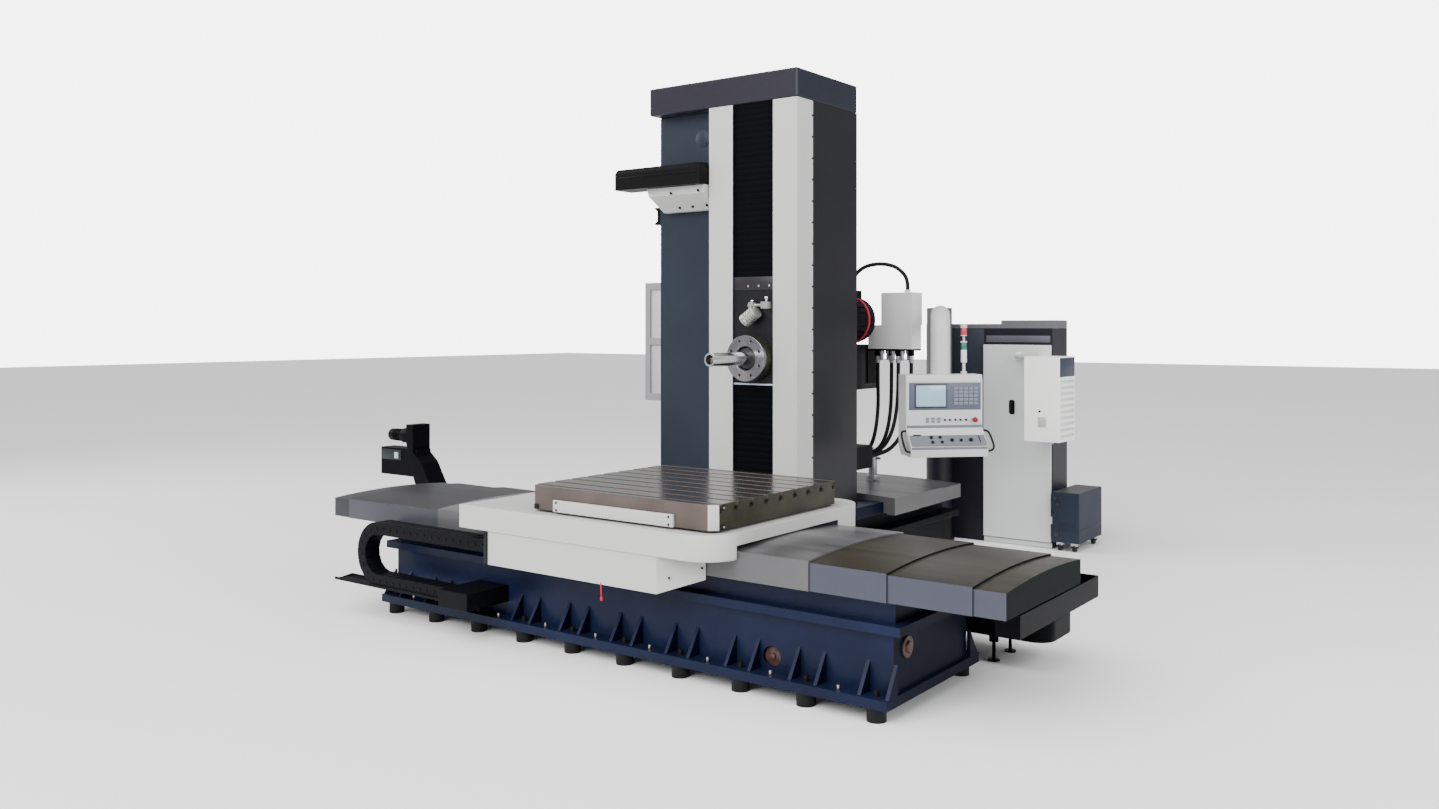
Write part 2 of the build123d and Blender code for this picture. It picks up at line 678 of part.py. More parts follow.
# Work lamp on a short arm in front of the headstock
LAMP_CENTRE = (144, 1560, 2214)
LAMP_RADIUS = 52
LAMP_LENGTH = 130
LAMP_TILT = 35
LAMP_BRACKET_X = (236, 290)
LAMP_BRACKET_Z = (2262, 2312)
LAMP_REACH = 70
LAMP_ARM_RADIUS = 11
LAMP_JOINT_RADIUS = 24
LAMP_JOINT_LENGTH = 52
LAMP_ARM_SHIFT = 30
LAMP_OVERLAP = 8
LAMP_MOUTH = 20
LAMP_RIM = 8
LAMP_RIB_COUNT = 4
LAMP_RIB_WIDTH = 6
LAMP_BACK = (-50, -45)
lamp_x, lamp_y, lamp_z = LAMP_CENTRE
with BuildPart() as work_lamp:
    arm_height = sum(LAMP_BRACKET_Z) / 2
    slab(LAMP_BRACKET_X, (head_front - LAMP_REACH, head_front), LAMP_BRACKET_Z)
    arm_length = LAMP_BRACKET_X[0] - lamp_x + LAMP_OVERLAP
    disc(side(lamp_x), (lamp_y + LAMP_ARM_SHIFT, arm_height), LAMP_ARM_RADIUS, arm_length)
    joint_back = front(lamp_y + LAMP_ARM_SHIFT + LAMP_JOINT_LENGTH / 2)
    disc(joint_back, (lamp_x, arm_height), LAMP_JOINT_RADIUS, LAMP_JOINT_LENGTH)
    lamp_plane = Plane(
        origin=(BED_X + lamp_x + LAMP_BACK[0], BED_Y + lamp_y, lamp_z + LAMP_BACK[1]),
        z_dir=(math.cos(math.radians(LAMP_TILT)), 0, math.sin(math.radians(LAMP_TILT))),
    )
    disc(lamp_plane, (0, 0), LAMP_RADIUS, LAMP_LENGTH)
    disc(lamp_plane, (0, 0), LAMP_RADIUS - LAMP_RIM, LAMP_MOUTH, Mode.SUBTRACT)
    rib_pitch = (LAMP_LENGTH - LAMP_MOUTH) / (LAMP_RIB_COUNT + 1)
    for i in range(LAMP_RIB_COUNT):
        groove_plane = lamp_plane.offset(LAMP_MOUTH + (i + 1) * rib_pitch)
        with BuildSketch(groove_plane) as groove:
            Circle(LAMP_RADIUS + 1)
            Circle(LAMP_RADIUS - LAMP_RIM, mode=Mode.SUBTRACT)
        extrude(groove.sketch, amount=LAMP_RIB_WIDTH, mode=Mode.SUBTRACT)
work_lamp.part.label = "work_lamp"
export_step(work_lamp.part, "parts/work_lamp.step")

# Spindle motor behind the column, with its fan ring and terminal box
FAN_LENGTH = 60
FAN_INSET = 12
FIN_COUNT = 24
FIN_DEPTH = 10
FIN_GAP = 16
FIN_END = 40
TERMINAL_RISE = 45
TERMINAL_FROM_AXIS = (-70, 90)
TERMINAL_FROM_BACK = (160, 320)
with BuildPart() as spindle_motor:
    motor_centre = (SPINDLE_X, MOTOR_Z)
    disc(front(HEAD_BACK), motor_centre, MOTOR_RADIUS, -(MOTOR_LENGTH - FAN_LENGTH))
    with BuildSketch(front(HEAD_BACK + FIN_END)) as fin_gaps:
        with Locations(motor_centre):
            with PolarLocations(MOTOR_RADIUS, FIN_COUNT):
                Rectangle(2 * FIN_DEPTH, FIN_GAP)
    fin_length = MOTOR_LENGTH - FAN_LENGTH - 2 * FIN_END
    extrude(fin_gaps.sketch, amount=-fin_length, mode=Mode.SUBTRACT)
    fan_front = front(HEAD_BACK + MOTOR_LENGTH - FAN_LENGTH)
    disc(fan_front, motor_centre, MOTOR_RADIUS - FAN_INSET, -FAN_LENGTH)
    terminal_x = (SPINDLE_X + TERMINAL_FROM_AXIS[0], SPINDLE_X + TERMINAL_FROM_AXIS[1])
    terminal_y = (HEAD_BACK + TERMINAL_FROM_BACK[0], HEAD_BACK + TERMINAL_FROM_BACK[1])
    terminal_top = MOTOR_Z + MOTOR_RADIUS + TERMINAL_RISE
    slab(terminal_x, terminal_y, (MOTOR_Z, terminal_top))
spindle_motor.part.label = "spindle_motor"
export_step(spindle_motor.part, "parts/spindle_motor.step")

# Junction box on a bracket at the headstock's shelf, with a row of hose glands below
CONDUIT_START = (560, 3265)
with BuildPart() as junction_box:
    slab(BOX_X, BOX_Y, BOX_Z)
    slab(UPPER_BOX_X, BOX_Y, (BOX_Z[1], UPPER_BOX_TOP))
    disc(level(UPPER_BOX_TOP), CONDUIT_START, GLAND_RADIUS, GLAND_LENGTH / 2)
junction_box.part.label = "junction_box"
export_step(junction_box.part, "parts/junction_box.step")

HOSE_STARTS = [(300, 3225), (400, 3280), (490, 3230), (580, 3290)]
BRACKET_THICK = 12
BRACKET_DROP = 280
with BuildPart() as gland_bracket:
    plate_bottom = BOX_Z[0] - BRACKET_THICK
    slab((SHELF_X[1], BOX_X[1]), BOX_Y, (plate_bottom, BOX_Z[0]))
    cheek_x = (SHELF_X[1], SHELF_X[1] + BRACKET_THICK)
    slab(cheek_x, BOX_Y, (plate_bottom - BRACKET_DROP, plate_bottom))
    for gland in HOSE_STARTS:
        disc(level(plate_bottom), gland, GLAND_RADIUS, -GLAND_LENGTH)
gland_bracket.part.label = "gland_bracket"
export_step(gland_bracket.part, "parts/gland_bracket.step")

# Hose terminal on the column's back, with a row of fittings that point backwards
HOSE_END_XS = (355, 400, 445, 490)
FITTING_RADIUS = 20
FITTING_LENGTH = 40
with BuildPart() as hose_terminal:
    terminal_back = COLUMN_Y[1] + TERMINAL_DEPTH
    fitting_z = sum(TERMINAL_Z) / 2
    slab(TERMINAL_X, (COLUMN_Y[1], terminal_back), TERMINAL_Z)
    for fitting_x in HOSE_END_XS:
        disc(front(terminal_back), (fitting_x, fitting_z), FITTING_RADIUS, -FITTING_LENGTH)
hose_terminal.part.label = "hose_terminal"
export_step(hose_terminal.part, "parts/hose_terminal.step")


def cord_tube(points, diameter):
    """Tube of straight runs and tangent arcs along a route, and the radii of its arcs."""
    places = [Vector(BED_X + x, BED_Y + y, z) for x, y, z in points]
    radii = []
    for before, here, after in zip(places, places[1:], places[2:]):
        turn = math.radians((here - before).get_angle(after - here))
        shorter = min((here - before).length, (after - here).length)
        radii.append(0.45 * shorter / math.tan(turn / 2))
    with BuildLine() as route:
        FilletPolyline(*places, radius=radii)
    start = Plane(origin=places[0], z_dir=places[1] - places[0])
    with BuildSketch(start) as section:
        Circle(diameter / 2)
    sweep(section.sketch, path=route.line)
    return radii, sum(edge.length for edge in route.edges())


# Hoses that hang from the glands to the terminal. Each row of a hang gives the shift in X
# and Y from the gland and the height as a share of the drop.
HANGS = [
    [(0, 0, 0.72), (6, -4, 0.45), (16, -68, 0.20), (34, -182, 0.05)],
    [(0, 0, 0.70), (4, -22, 0.41), (10, -105, 0.17), (8, -228, 0.03)],
    [(0, 0, 0.74), (-6, -6, 0.47), (-18, -56, 0.23), (-32, -166, 0.07)],
    [(0, 0, 0.71), (-10, -16, 0.43), (-34, -98, 0.18), (-66, -226, 0.04)],
]
hose_top = plate_bottom - GLAND_LENGTH
hose_drop = hose_top - fitting_z
hose_back = terminal_back + FITTING_LENGTH
LAST_RUN = 110
for i, (start, end_x, hang) in enumerate(zip(HOSE_STARTS, HOSE_END_XS, HANGS), start=1):
    points = [(start[0], start[1], hose_top)]
    for shift_x, shift_y, share in hang:
        points.append((start[0] + shift_x, start[1] + shift_y, fitting_z + share * hose_drop))
    points.append((end_x, hose_back + LAST_RUN, fitting_z))
    points.append((end_x, hose_back, fitting_z))
    with BuildPart() as hose:
        radii, length = cord_tube(points, HOSE_DIAMETER)
    print(f"hose_{i} length {length:.0f} radii", [round(r) for r in radii])
    hose.part.label = f"hose_{i}"
    export_step(hose.part, f"parts/hose_{i}.step")

# Corrugated conduit that arches from the junction box to the motor's terminal box. Each row
# gives the share of the way across and the height above the line between its two ends.
ARCH = [
    (0, 0), (0, 80), (0.09, 150), (0.25, 205), (0.5, 225), (0.75, 205), (0.91, 150), (1, 80), (1, 0)
]
conduit_from = Vector(*CONDUIT_START, UPPER_BOX_TOP + GLAND_LENGTH / 2)
CONDUIT_END_SHIFT = 40
conduit_end_y = HEAD_BACK + sum(TERMINAL_FROM_BACK) / 2
conduit_to = Vector(SPINDLE_X + CONDUIT_END_SHIFT, conduit_end_y, terminal_top)
arch_points = []
for share, rise in ARCH:
    place = conduit_from + (conduit_to - conduit_from) * share
    arch_points.append((place.X, place.Y, place.Z + rise))
with BuildPart() as conduit:
    radii, length = cord_tube(arch_points, CONDUIT_DIAMETER)
print(f"conduit length {length:.0f} radii", [round(r) for r in radii])
conduit.part.label = "conduit"
export_step(conduit.part, "parts/conduit.step")

# Covers of the column's bed, behind the column
REAR_LEAVES = 3
REAR_SKIRT = 135
rear_pitch = (REAR_COVER_END - SLIDE_Y[1]) / REAR_LEAVES


def rear_outline(plane, inset):
    """Section of a rear cover leaf: upright sides under a crowned top."""
    low, high = about_column(REAR_COVER_HALF - inset)
    top = REAR_COVER_TOP - inset
    bottom = REAR_COVER_TOP - REAR_SKIRT
    with BuildSketch(plane) as section:
        with BuildLine():
            Polyline((low, top), (low, bottom), (high, bottom), (high, top))
            ThreePointArc((high, top), (COLUMN_MIDDLE, top + COVER_CROWN), (low, top))
        make_face()
    return section.sketch


with BuildPart() as z_cover:
    for i in range(REAR_LEAVES):
        leaf_front = front(SLIDE_Y[1] + i * rear_pitch)
        extrude(rear_outline(leaf_front, i * COVER_STEP), amount=-rear_pitch)
    hollow_front = front(SLIDE_Y[1] + COVER_WALL)
    hollow_inset = REAR_LEAVES * COVER_STEP
    hollow_length = REAR_COVER_END - SLIDE_Y[1] - 2 * COVER_WALL
    extrude(rear_outline(hollow_front, hollow_inset), amount=-hollow_length, mode=Mode.SUBTRACT)
    way_half = REAR_BED_HALF + FREE_GAP
    slab(about_column(way_half), (SLIDE_Y[1], REAR_COVER_END), (0, WAY_TOP), Mode.SUBTRACT)
z_cover.part.label = "z_cover"
export_step(z_cover.part, "parts/z_cover.step")

BRACKET_SLOPE = 70

# Tool changer rail: a black housing with a bevelled front edge, on a white folded bracket
RAIL_BEVEL = 34
with BuildPart() as tool_rail:
    prism(
        side(RAIL_X[0]),
        [
            (RAIL_Y[0], RAIL_Z[0]),
            (RAIL_Y[1], RAIL_Z[0]),
            (RAIL_Y[1], RAIL_Z[1]),
            (RAIL_Y[0] + RAIL_BEVEL, RAIL_Z[1]),
            (RAIL_Y[0], RAIL_Z[1] - RAIL_BEVEL),
        ],
        RAIL_X[1] - RAIL_X[0],
    )
tool_rail.part.label = "tool_rail"
export_step(tool_rail.part, "parts/tool_rail.step")

with BuildPart() as tool_rail_bracket:
    prism(
        front(COLUMN_Y[0]),
        [
            (BRACKET_X[0], RAIL_Z[0]),
            (BRACKET_X[0] + BRACKET_SLOPE, BRACKET_BOTTOM),
            (BRACKET_X[1], BRACKET_BOTTOM),
            (BRACKET_X[1], RAIL_Z[0]),
        ],
        COLUMN_Y[0] - RAIL_Y[0] - 2 * RAIL_BEVEL,
    )
    prism(
        side(BRACKET_X[0]),
        [
            (RAIL_Y[0], RAIL_Z[0]),
            (RAIL_Y[1], BRACKET_BOTTOM),
            (RAIL_Y[0], BRACKET_BOTTOM),
        ],
        BRACKET_X[1] - BRACKET_X[0],
        Mode.SUBTRACT,
    )
tool_rail_bracket.part.label = "tool_rail_bracket"
export_step(tool_rail_bracket.part, "parts/tool_rail_bracket.step")

# Black guide hook on the column's left side
HOOK_Z = (2962, 3100)
HOOK_Y = (1860, 1960)
HOOK_REACH = 160
HOOK_TIP = 40
HOOK_BAR = 30
with BuildPart() as side_hook:
    hook_out = COLUMN_X[0] - HOOK_REACH
    prism(
        front(HOOK_Y[0]),
        [
            (COLUMN_X[0], HOOK_Z[0]),
            (COLUMN_X[0], HOOK_Z[1]),
            (hook_out, HOOK_Z[1]),
            (hook_out + HOOK_TIP, HOOK_Z[1] - HOOK_BAR),
            (hook_out + HOOK_TIP, HOOK_Z[0] + HOOK_BAR),
            (hook_out, HOOK_Z[0]),
        ],
        HOOK_Y[0] - HOOK_Y[1],
    )
side_hook.part.label = "side_hook"
export_step(side_hook.part, "parts/side_hook.step")

# Guard panel at the column's left side: an open frame with a middle rail
with BuildPart() as guard_panel:
    guard_y = (GUARD_Y, GUARD_Y + GUARD_DEPTH)
    slab((GUARD_LEFT, COLUMN_X[0]), guard_y, GUARD_Z)
    pane_x = (GUARD_LEFT + GUARD_FRAME, COLUMN_X[0] - GUARD_FRAME)
    middle = sum(GUARD_Z) / 2
    lower_pane = (GUARD_Z[0] + GUARD_FRAME, middle - GUARD_FRAME / 2)
    upper_pane = (middle + GUARD_FRAME / 2, GUARD_Z[1] - GUARD_FRAME)
    for pane in (lower_pane, upper_pane):
        slab(pane_x, guard_y, pane, Mode.SUBTRACT)
guard_panel.part.label = "guard_panel"
export_step(guard_panel.part, "parts/guard_panel.step")

# Energy chain: one fixed loop, bent over at the left, in an open sheet tray
chain_x, chain_z = CHAIN_CENTRE
chain_inner = CHAIN_RADIUS - CHAIN_HEIGHT
with BuildPart() as cable_chain:
    with BuildSketch(front(CHAIN_Y[1])):
        with BuildLine():
            top_out = (chain_x, chain_z + CHAIN_RADIUS)
            low_out = (chain_x, chain_z - CHAIN_RADIUS)
            top_in = (chain_x, chain_z + chain_inner)
            low_in = (chain_x, chain_z - chain_inner)
            ThreePointArc(top_out, (chain_x - CHAIN_RADIUS, chain_z), low_out)
            Polyline(
                low_out,
                (CHAIN_LOWER_END, low_out[1]),
                (CHAIN_LOWER_END, low_in[1]),
                low_in,
            )
            ThreePointArc(low_in, (chain_x - chain_inner, chain_z), top_in)
            Polyline(
                top_in,
                (CHAIN_UPPER_END, top_in[1]),
                (CHAIN_UPPER_END, top_out[1]),
                top_out,
            )
        make_face()
    extrude(amount=CHAIN_Y[1] - CHAIN_Y[0])
    upper_run = CHAIN_UPPER_END - chain_x
    bend_run = math.pi * (CHAIN_RADIUS - CHAIN_HEIGHT / 2)
    whole_run = upper_run + bend_run + CHAIN_LOWER_END - chain_x
    joints = []
    for i in range(1, round(whole_run / LINK_PITCH)):
        along = i * LINK_PITCH
        if along < upper_run:
            joints.append((CHAIN_UPPER_END - along, 0))
        elif along < upper_run + bend_run:
            joints.append((chain_x, 180 * (along - upper_run) / bend_run))
        else:
            joints.append((chain_x + along - upper_run - bend_run, 180))
    chain_middle = BED_Y + sum(CHAIN_Y) / 2
    for joint_x, bend in joints:
        for reach in (CHAIN_RADIUS, chain_inner):
            groove_x = joint_x - reach * math.sin(math.radians(bend))
            groove_z = chain_z + reach * math.cos(math.radians(bend))
            with Locations(Location((BED_X + groove_x, chain_middle, groove_z), (0, -bend, 0))):
                groove_width = CHAIN_Y[1] - CHAIN_Y[0] + LINK_GROOVE
                Box(LINK_GROOVE, groove_width, 2 * LINK_GROOVE, mode=Mode.SUBTRACT)
cable_chain.part.label = "cable_chain"
export_step(cable_chain.part, "parts/cable_chain.step")

TRAY_SIDE_GAP = 12
TRAY_LIP = 16
STAY_XS = (FOOT_XS[0], FOOT_XS[1])
STAY_WIDTH = 30
with BuildPart() as chain_tray:
    tray_floor = chain_z - CHAIN_RADIUS - SLIDE_GAP
    tray_y = (CHAIN_Y[0] - TRAY_SIDE_GAP, CHAIN_Y[1] + TRAY_SIDE_GAP)
    tray_x = (TRAY_TIP, CHAIN_LOWER_END)
    slab(tray_x, tray_y, (tray_floor - TRAY_SHEET, tray_floor + TRAY_LIP))
    trough_y = (tray_y[0] + TRAY_SHEET, tray_y[1] - TRAY_SHEET)
    slab(tray_x, trough_y, (tray_floor, tray_floor + TRAY_LIP), Mode.SUBTRACT)
    for stay_x in STAY_XS:
        stay = (stay_x - STAY_WIDTH / 2, stay_x + STAY_WIDTH / 2)
        slab(stay, (tray_y[1], WALL_INSET), (tray_floor - TRAY_SHEET, tray_floor))
    slab((CHAIN_LOWER_END, CHAIN_BOX_END), (TRAY_FRONT, WALL_INSET), CHAIN_BOX_Z)
chain_tray.part.label = "chain_tray"
export_step(chain_tray.part, "parts/chain_tray.step")

# Chip conveyor: a flat run between the beds and a rising head at the left
TROUGH_BEVEL = 18
lift_outline = [(CONVEYOR_X[0], CONVEYOR_Z[0]), (CONVEYOR_X[0], CONVEYOR_Z[1])]
lift_outline += LIFT_RISE + LIFT_FALL
with BuildPart() as chip_conveyor:
    slab(CONVEYOR_X, CONVEYOR_Y, CONVEYOR_Z)
    trough_end = chip_conveyor.edges().filter_by(Axis.Z).group_by(Axis.X)[-1]
    fillet(trough_end, CONVEYOR_CORNER)
    chamfer(chip_conveyor.faces().sort_by(Axis.Z)[-1].edges(), TROUGH_BEVEL)
    prism(front(LIFT_Y[0]), lift_outline, LIFT_Y[0] - LIFT_Y[1])
chip_conveyor.part.label = "chip_conveyor"
export_step(chip_conveyor.part, "parts/chip_conveyor.step")

DRIVE_INSET = 20
DRIVE_Z = (730, 985)
GEAR_RADIUS = 68
GEAR_END = -3830
ROTOR_RADIUS = 55
ROTOR_END = -4010
GEAR_Z = 1105
with BuildPart() as conveyor_drive:
    drive_y = (LIFT_Y[0] + DRIVE_INSET, LIFT_Y[1] - DRIVE_INSET)
    lift_back = LIFT_FALL[0][0]
    gear_centre = (LIFT_Y[0] + GEAR_RADIUS, GEAR_Z)
    slab((-HEAD_REACH, lift_back + 2 * GEAR_RADIUS), drive_y, DRIVE_Z)
    disc(side(GEAR_END), gear_centre, GEAR_RADIUS, lift_back - GEAR_END)
    disc(side(ROTOR_END), gear_centre, ROTOR_RADIUS, GEAR_END - ROTOR_END)
    prism(front(LIFT_Y[0]), lift_outline, LIFT_Y[0] - LIFT_Y[1], Mode.SUBTRACT)
conveyor_drive.part.label = "conveyor_drive"
export_step(conveyor_drive.part, "parts/conveyor_drive.step")

# Belt tensioner on the trough's right end: a round geared drive on a foot
TENSIONER_PLACE = (2380, 1500)
TENSIONER_RADII = (75, 58, 44)
TENSIONER_LEVELS = (CONVEYOR_Z[1], 362, 430, 478)
with BuildPart() as belt_tensioner:
    for radius, low, high in zip(TENSIONER_RADII, TENSIONER_LEVELS, TENSIONER_LEVELS[1:]):
        disc(level(low), TENSIONER_PLACE, radius, high - low)
belt_tensioner.part.label = "belt_tensioner"
export_step(belt_tensioner.part, "parts/belt_tensioner.step")

# Chute under the right end of the covers: an open channel on the ends of the cover arms
CHUTE_WIDTH = 140
CHUTE_Y = (300, 1524)
CHUTE_Z = (497, 625)
with BuildPart() as chip_chute:
    chute_x = (COVER_END - CHUTE_INSET, COVER_END - CHUTE_INSET + CHUTE_WIDTH)
    slab(chute_x, CHUTE_Y, CHUTE_Z)
    inside_x = (chute_x[0] + TRAY_SHEET, chute_x[1] - TRAY_SHEET)
    inside_y = (CHUTE_Y[0] + TRAY_SHEET, CHUTE_Y[1] - TRAY_SHEET)
    slab(inside_x, inside_y, (CHUTE_Z[0] + TRAY_SHEET, CHUTE_Z[1]), Mode.SUBTRACT)
chip_chute.part.label = "chip_chute"
export_step(chip_chute.part, "parts/chip_chute.step")

LEG_XS = (2077, 700, -700, -2080, -2780)
LEG_INSET = 108
LEG_RADIUS = 11
LEG_PAD = 36
LEG_PAD_HEIGHT = 12
LEG_BOSS = 30
LEG_BOSS_LENGTH = 60
with BuildPart() as conveyor_feet:
    for leg_x in LEG_XS:
        for leg_y in (CONVEYOR_Y[0] + LEG_INSET, CONVEYOR_Y[1] - LEG_INSET):
            disc(level(0), (leg_x, leg_y), LEG_PAD, LEG_PAD_HEIGHT)
            disc(level(LEG_PAD_HEIGHT), (leg_x, leg_y), LEG_RADIUS, CONVEYOR_Z[0] - LEG_PAD_HEIGHT)
            disc(level(CONVEYOR_Z[0]), (leg_x, leg_y), LEG_BOSS, -LEG_BOSS_LENGTH)
conveyor_feet.part.label = "conveyor_feet"
export_step(conveyor_feet.part, "parts/conveyor_feet.step")

# Control cabinet: an open shell with a roof, and a door that carries the cooler
with BuildPart() as cabinet:
    slab(CABINET_X, CABINET_Y, (0, CABINET_TOP))
    opening_x = (DOOR_X[0] + CABINET_WALL, DOOR_X[1] - CABINET_WALL)
    inside_x = (CABINET_X[0] + CABINET_WALL, CABINET_X[1] - CABINET_WALL)
    inside_z = (DOOR_Z[0] + CABINET_WALL, DOOR_Z[1] - CABINET_WALL)
    inside_y = (CABINET_Y[0] + CABINET_WALL, CABINET_Y[1] - CABINET_WALL)
    slab(inside_x, inside_y, inside_z, Mode.SUBTRACT)
    slab(opening_x, (CABINET_Y[0], CABINET_Y[0] + CABINET_WALL), inside_z, Mode.SUBTRACT)
cabinet.part.label = "cabinet"
export_step(cabinet.part, "parts/cabinet.step")

# Roof: a light band with a raised box at its right end
ROOF_STEP = 35
ROOF_BOX = 520
with BuildPart() as cabinet_roof:
    slab(CABINET_X, CABINET_Y, (CABINET_TOP, CABINET_ROOF - ROOF_STEP))
    roof_box_x = (CABINET_X[1] - ROOF_BOX, CABINET_X[1])
    slab(roof_box_x, CABINET_Y, (CABINET_ROOF - ROOF_STEP, CABINET_ROOF))
cabinet_roof.part.label = "cabinet_roof"
export_step(cabinet_roof.part, "parts/cabinet_roof.step")

door_back = CABINET_Y[0] - SLIDE_GAP
door_front = door_back - DOOR_THICK
hinge_x = CABINET_X[1] + HINGE_OUT
KNUCKLE_RADIUS = 9
KNUCKLE_LENGTH = 70
KNUCKLE_INSET = 180
knuckle_zs = (DOOR_Z[0] + KNUCKLE_INSET, sum(DOOR_Z) / 2, DOOR_Z[1] - KNUCKLE_INSET)
with BuildPart() as cabinet_door:
    slab(DOOR_X, (door_front, door_back), DOOR_Z)
    for knuckle_z in knuckle_zs:
        knuckle_span = (knuckle_z, knuckle_z + KNUCKLE_LENGTH)
        slab((DOOR_X[1], hinge_x), (door_front, door_front + 2 * KNUCKLE_RADIUS), knuckle_span)
        hinge_axis = (hinge_x, door_front + KNUCKLE_RADIUS)
        disc(level(knuckle_z), hinge_axis, KNUCKLE_RADIUS, KNUCKLE_LENGTH)
cabinet_door.part.label = "cabinet_door"
export_step(cabinet_door.part, "parts/cabinet_door.step")

# Swing handle in a dished plate on the door
HANDLE_X = 618
HANDLE_Z = (1273, 1413)
HANDLE_WIDTH = 56
HANDLE_PLATE = 6
HANDLE_GRIP = (24, 90, 18)
with BuildPart() as door_handle:
    handle_x = (HANDLE_X - HANDLE_WIDTH / 2, HANDLE_X + HANDLE_WIDTH / 2)
    slab(handle_x, (door_front - HANDLE_PLATE, door_front), HANDLE_Z)
    fillet(door_handle.edges().filter_by(Axis.Y), HANDLE_WIDTH / 3)
    grip_x = (HANDLE_X - HANDLE_GRIP[0] / 2, HANDLE_X + HANDLE_GRIP[0] / 2)
    grip_middle = sum(HANDLE_Z) / 2
    grip_z = (grip_middle - HANDLE_GRIP[1] / 2, grip_middle + HANDLE_GRIP[1] / 2)
    slab(grip_x, (door_front - HANDLE_PLATE - HANDLE_GRIP[2], door_front - HANDLE_PLATE), grip_z)
door_handle.part.label = "door_handle"
export_step(door_handle.part, "parts/door_handle.step")

COOLER_EDGE = 8
with BuildPart() as cabinet_cooler:
    slab(COOLER_X, (door_front - COOLER_DEPTH, door_front), COOLER_Z)
    fillet(cabinet_cooler.edges().filter_by(Axis.Z).group_by(Axis.Y)[0], COOLER_EDGE)
cabinet_cooler.part.label = "cabinet_cooler"
export_step(cabinet_cooler.part, "parts/cabinet_cooler.step")

# Oil chiller on four castors
with BuildPart() as chiller:
    slab(CHILLER_X, CHILLER_Y, CHILLER_Z)
chiller.part.label = "chiller"
export_step(chiller.part, "parts/chiller.step")

CASTOR_WIDTH = 28
CASTOR_INSET = 60
with BuildPart() as chiller_castors:
    for castor_x in (CHILLER_X[0] + CASTOR_INSET, CHILLER_X[1] - CASTOR_INSET):
        for castor_y in (CHILLER_Y[0] + CASTOR_INSET, CHILLER_Y[1] - CASTOR_INSET):
            wheel_side = side(castor_x - CASTOR_WIDTH / 2)
            disc(wheel_side, (castor_y, CASTOR_RADIUS), CASTOR_RADIUS, CASTOR_WIDTH)
            fork = (castor_x - CASTOR_WIDTH, castor_x + CASTOR_WIDTH)
            deep = (castor_y - CASTOR_WIDTH, castor_y + CASTOR_WIDTH)
            slab(fork, deep, (CASTOR_RADIUS, CHILLER_Z[0]))
chiller_castors.part.label = "chiller_castors"
export_step(chiller_castors.part, "parts/chiller_castors.step")

# Pendant post, swinging arm, control panel and signal lamp
BASE_RADIUS = 150
BASE_HEIGHT = 20
with BuildPart() as pendant_post:
    disc(level(0), (POST_X, POST_Y), POST_RADIUS, POST_TOP)
    disc(level(0), (POST_X, POST_Y), BASE_RADIUS, BASE_HEIGHT)
pendant_post.part.label = "pendant_post"
export_step(pendant_post.part, "parts/pendant_post.step")

ARM_BEND = 150
HUB_RISE = 20
tube_x = POST_X + ARM_SPAN[0]
tube_y = POST_Y + ARM_SPAN[1]
with BuildPart() as pendant_arm:
    with BuildLine() as arm_route:
        FilletPolyline(
            (BED_X + POST_X, BED_Y + POST_Y, ARM_Z),
            (BED_X + tube_x, BED_Y + tube_y, ARM_Z),
            (BED_X + tube_x, BED_Y + tube_y, PENDANT_Z[1]),
            radius=ARM_BEND,
        )
    arm_start = Plane(
        origin=(BED_X + POST_X, BED_Y + POST_Y, ARM_Z), z_dir=(ARM_SPAN[0], ARM_SPAN[1], 0)
    )
    with BuildSketch(arm_start) as arm_section:
        Circle(ARM_RADIUS)
    sweep(arm_section.sketch, path=arm_route.line)
    hub_bottom = POST_TOP + SLIDE_GAP
    hub_top = ARM_Z + ARM_RADIUS + HUB_RISE
    disc(level(hub_bottom), (POST_X, POST_Y), POST_RADIUS, hub_top - hub_bottom)
pendant_arm.part.label = "pendant_arm"
export_step(pendant_arm.part, "parts/pendant_arm.step")

turn = math.radians(PENDANT_TURN)
forward = (math.cos(turn), math.sin(turn), 0)
sideways = (-math.sin(turn), math.cos(turn), 0)
pendant_side = Plane(
    origin=(BED_X + tube_x, BED_Y + tube_y, 0), x_dir=forward, z_dir=(-sideways[0], -sideways[1], 0)
)
SHELF_OUT = 215
PANEL_FRONT = 95
PENDANT_REAR = -100
PENDANT_REAR_BEVEL = 60
PANEL_TOP_DROP = 45
PANEL_TOP_SET = 10
PANEL_DROP = 410
LIP_HEIGHT = 78
with BuildPart() as pendant:
    with BuildSketch(pendant_side) as pendant_profile:
        with BuildLine():
            Polyline(
                (PENDANT_REAR, PENDANT_Z[0] + PENDANT_REAR_BEVEL),
                (PENDANT_REAR, PENDANT_Z[1]),
                (PANEL_FRONT - PANEL_TOP_SET, PENDANT_Z[1]),
                (PANEL_FRONT, PENDANT_Z[1] - PANEL_TOP_DROP),
                (PANEL_FRONT, PENDANT_Z[1] - PANEL_DROP),
                (SHELF_OUT, PENDANT_Z[0] + LIP_HEIGHT),
                (SHELF_OUT, PENDANT_Z[0]),
                (PENDANT_REAR + PENDANT_REAR_BEVEL, PENDANT_Z[0]),
                close=True,
            )
        make_face()
    extrude(amount=PENDANT_WIDTH / 2, both=True)
pendant.part.label = "pendant"
export_step(pendant.part, "parts/pendant.step")

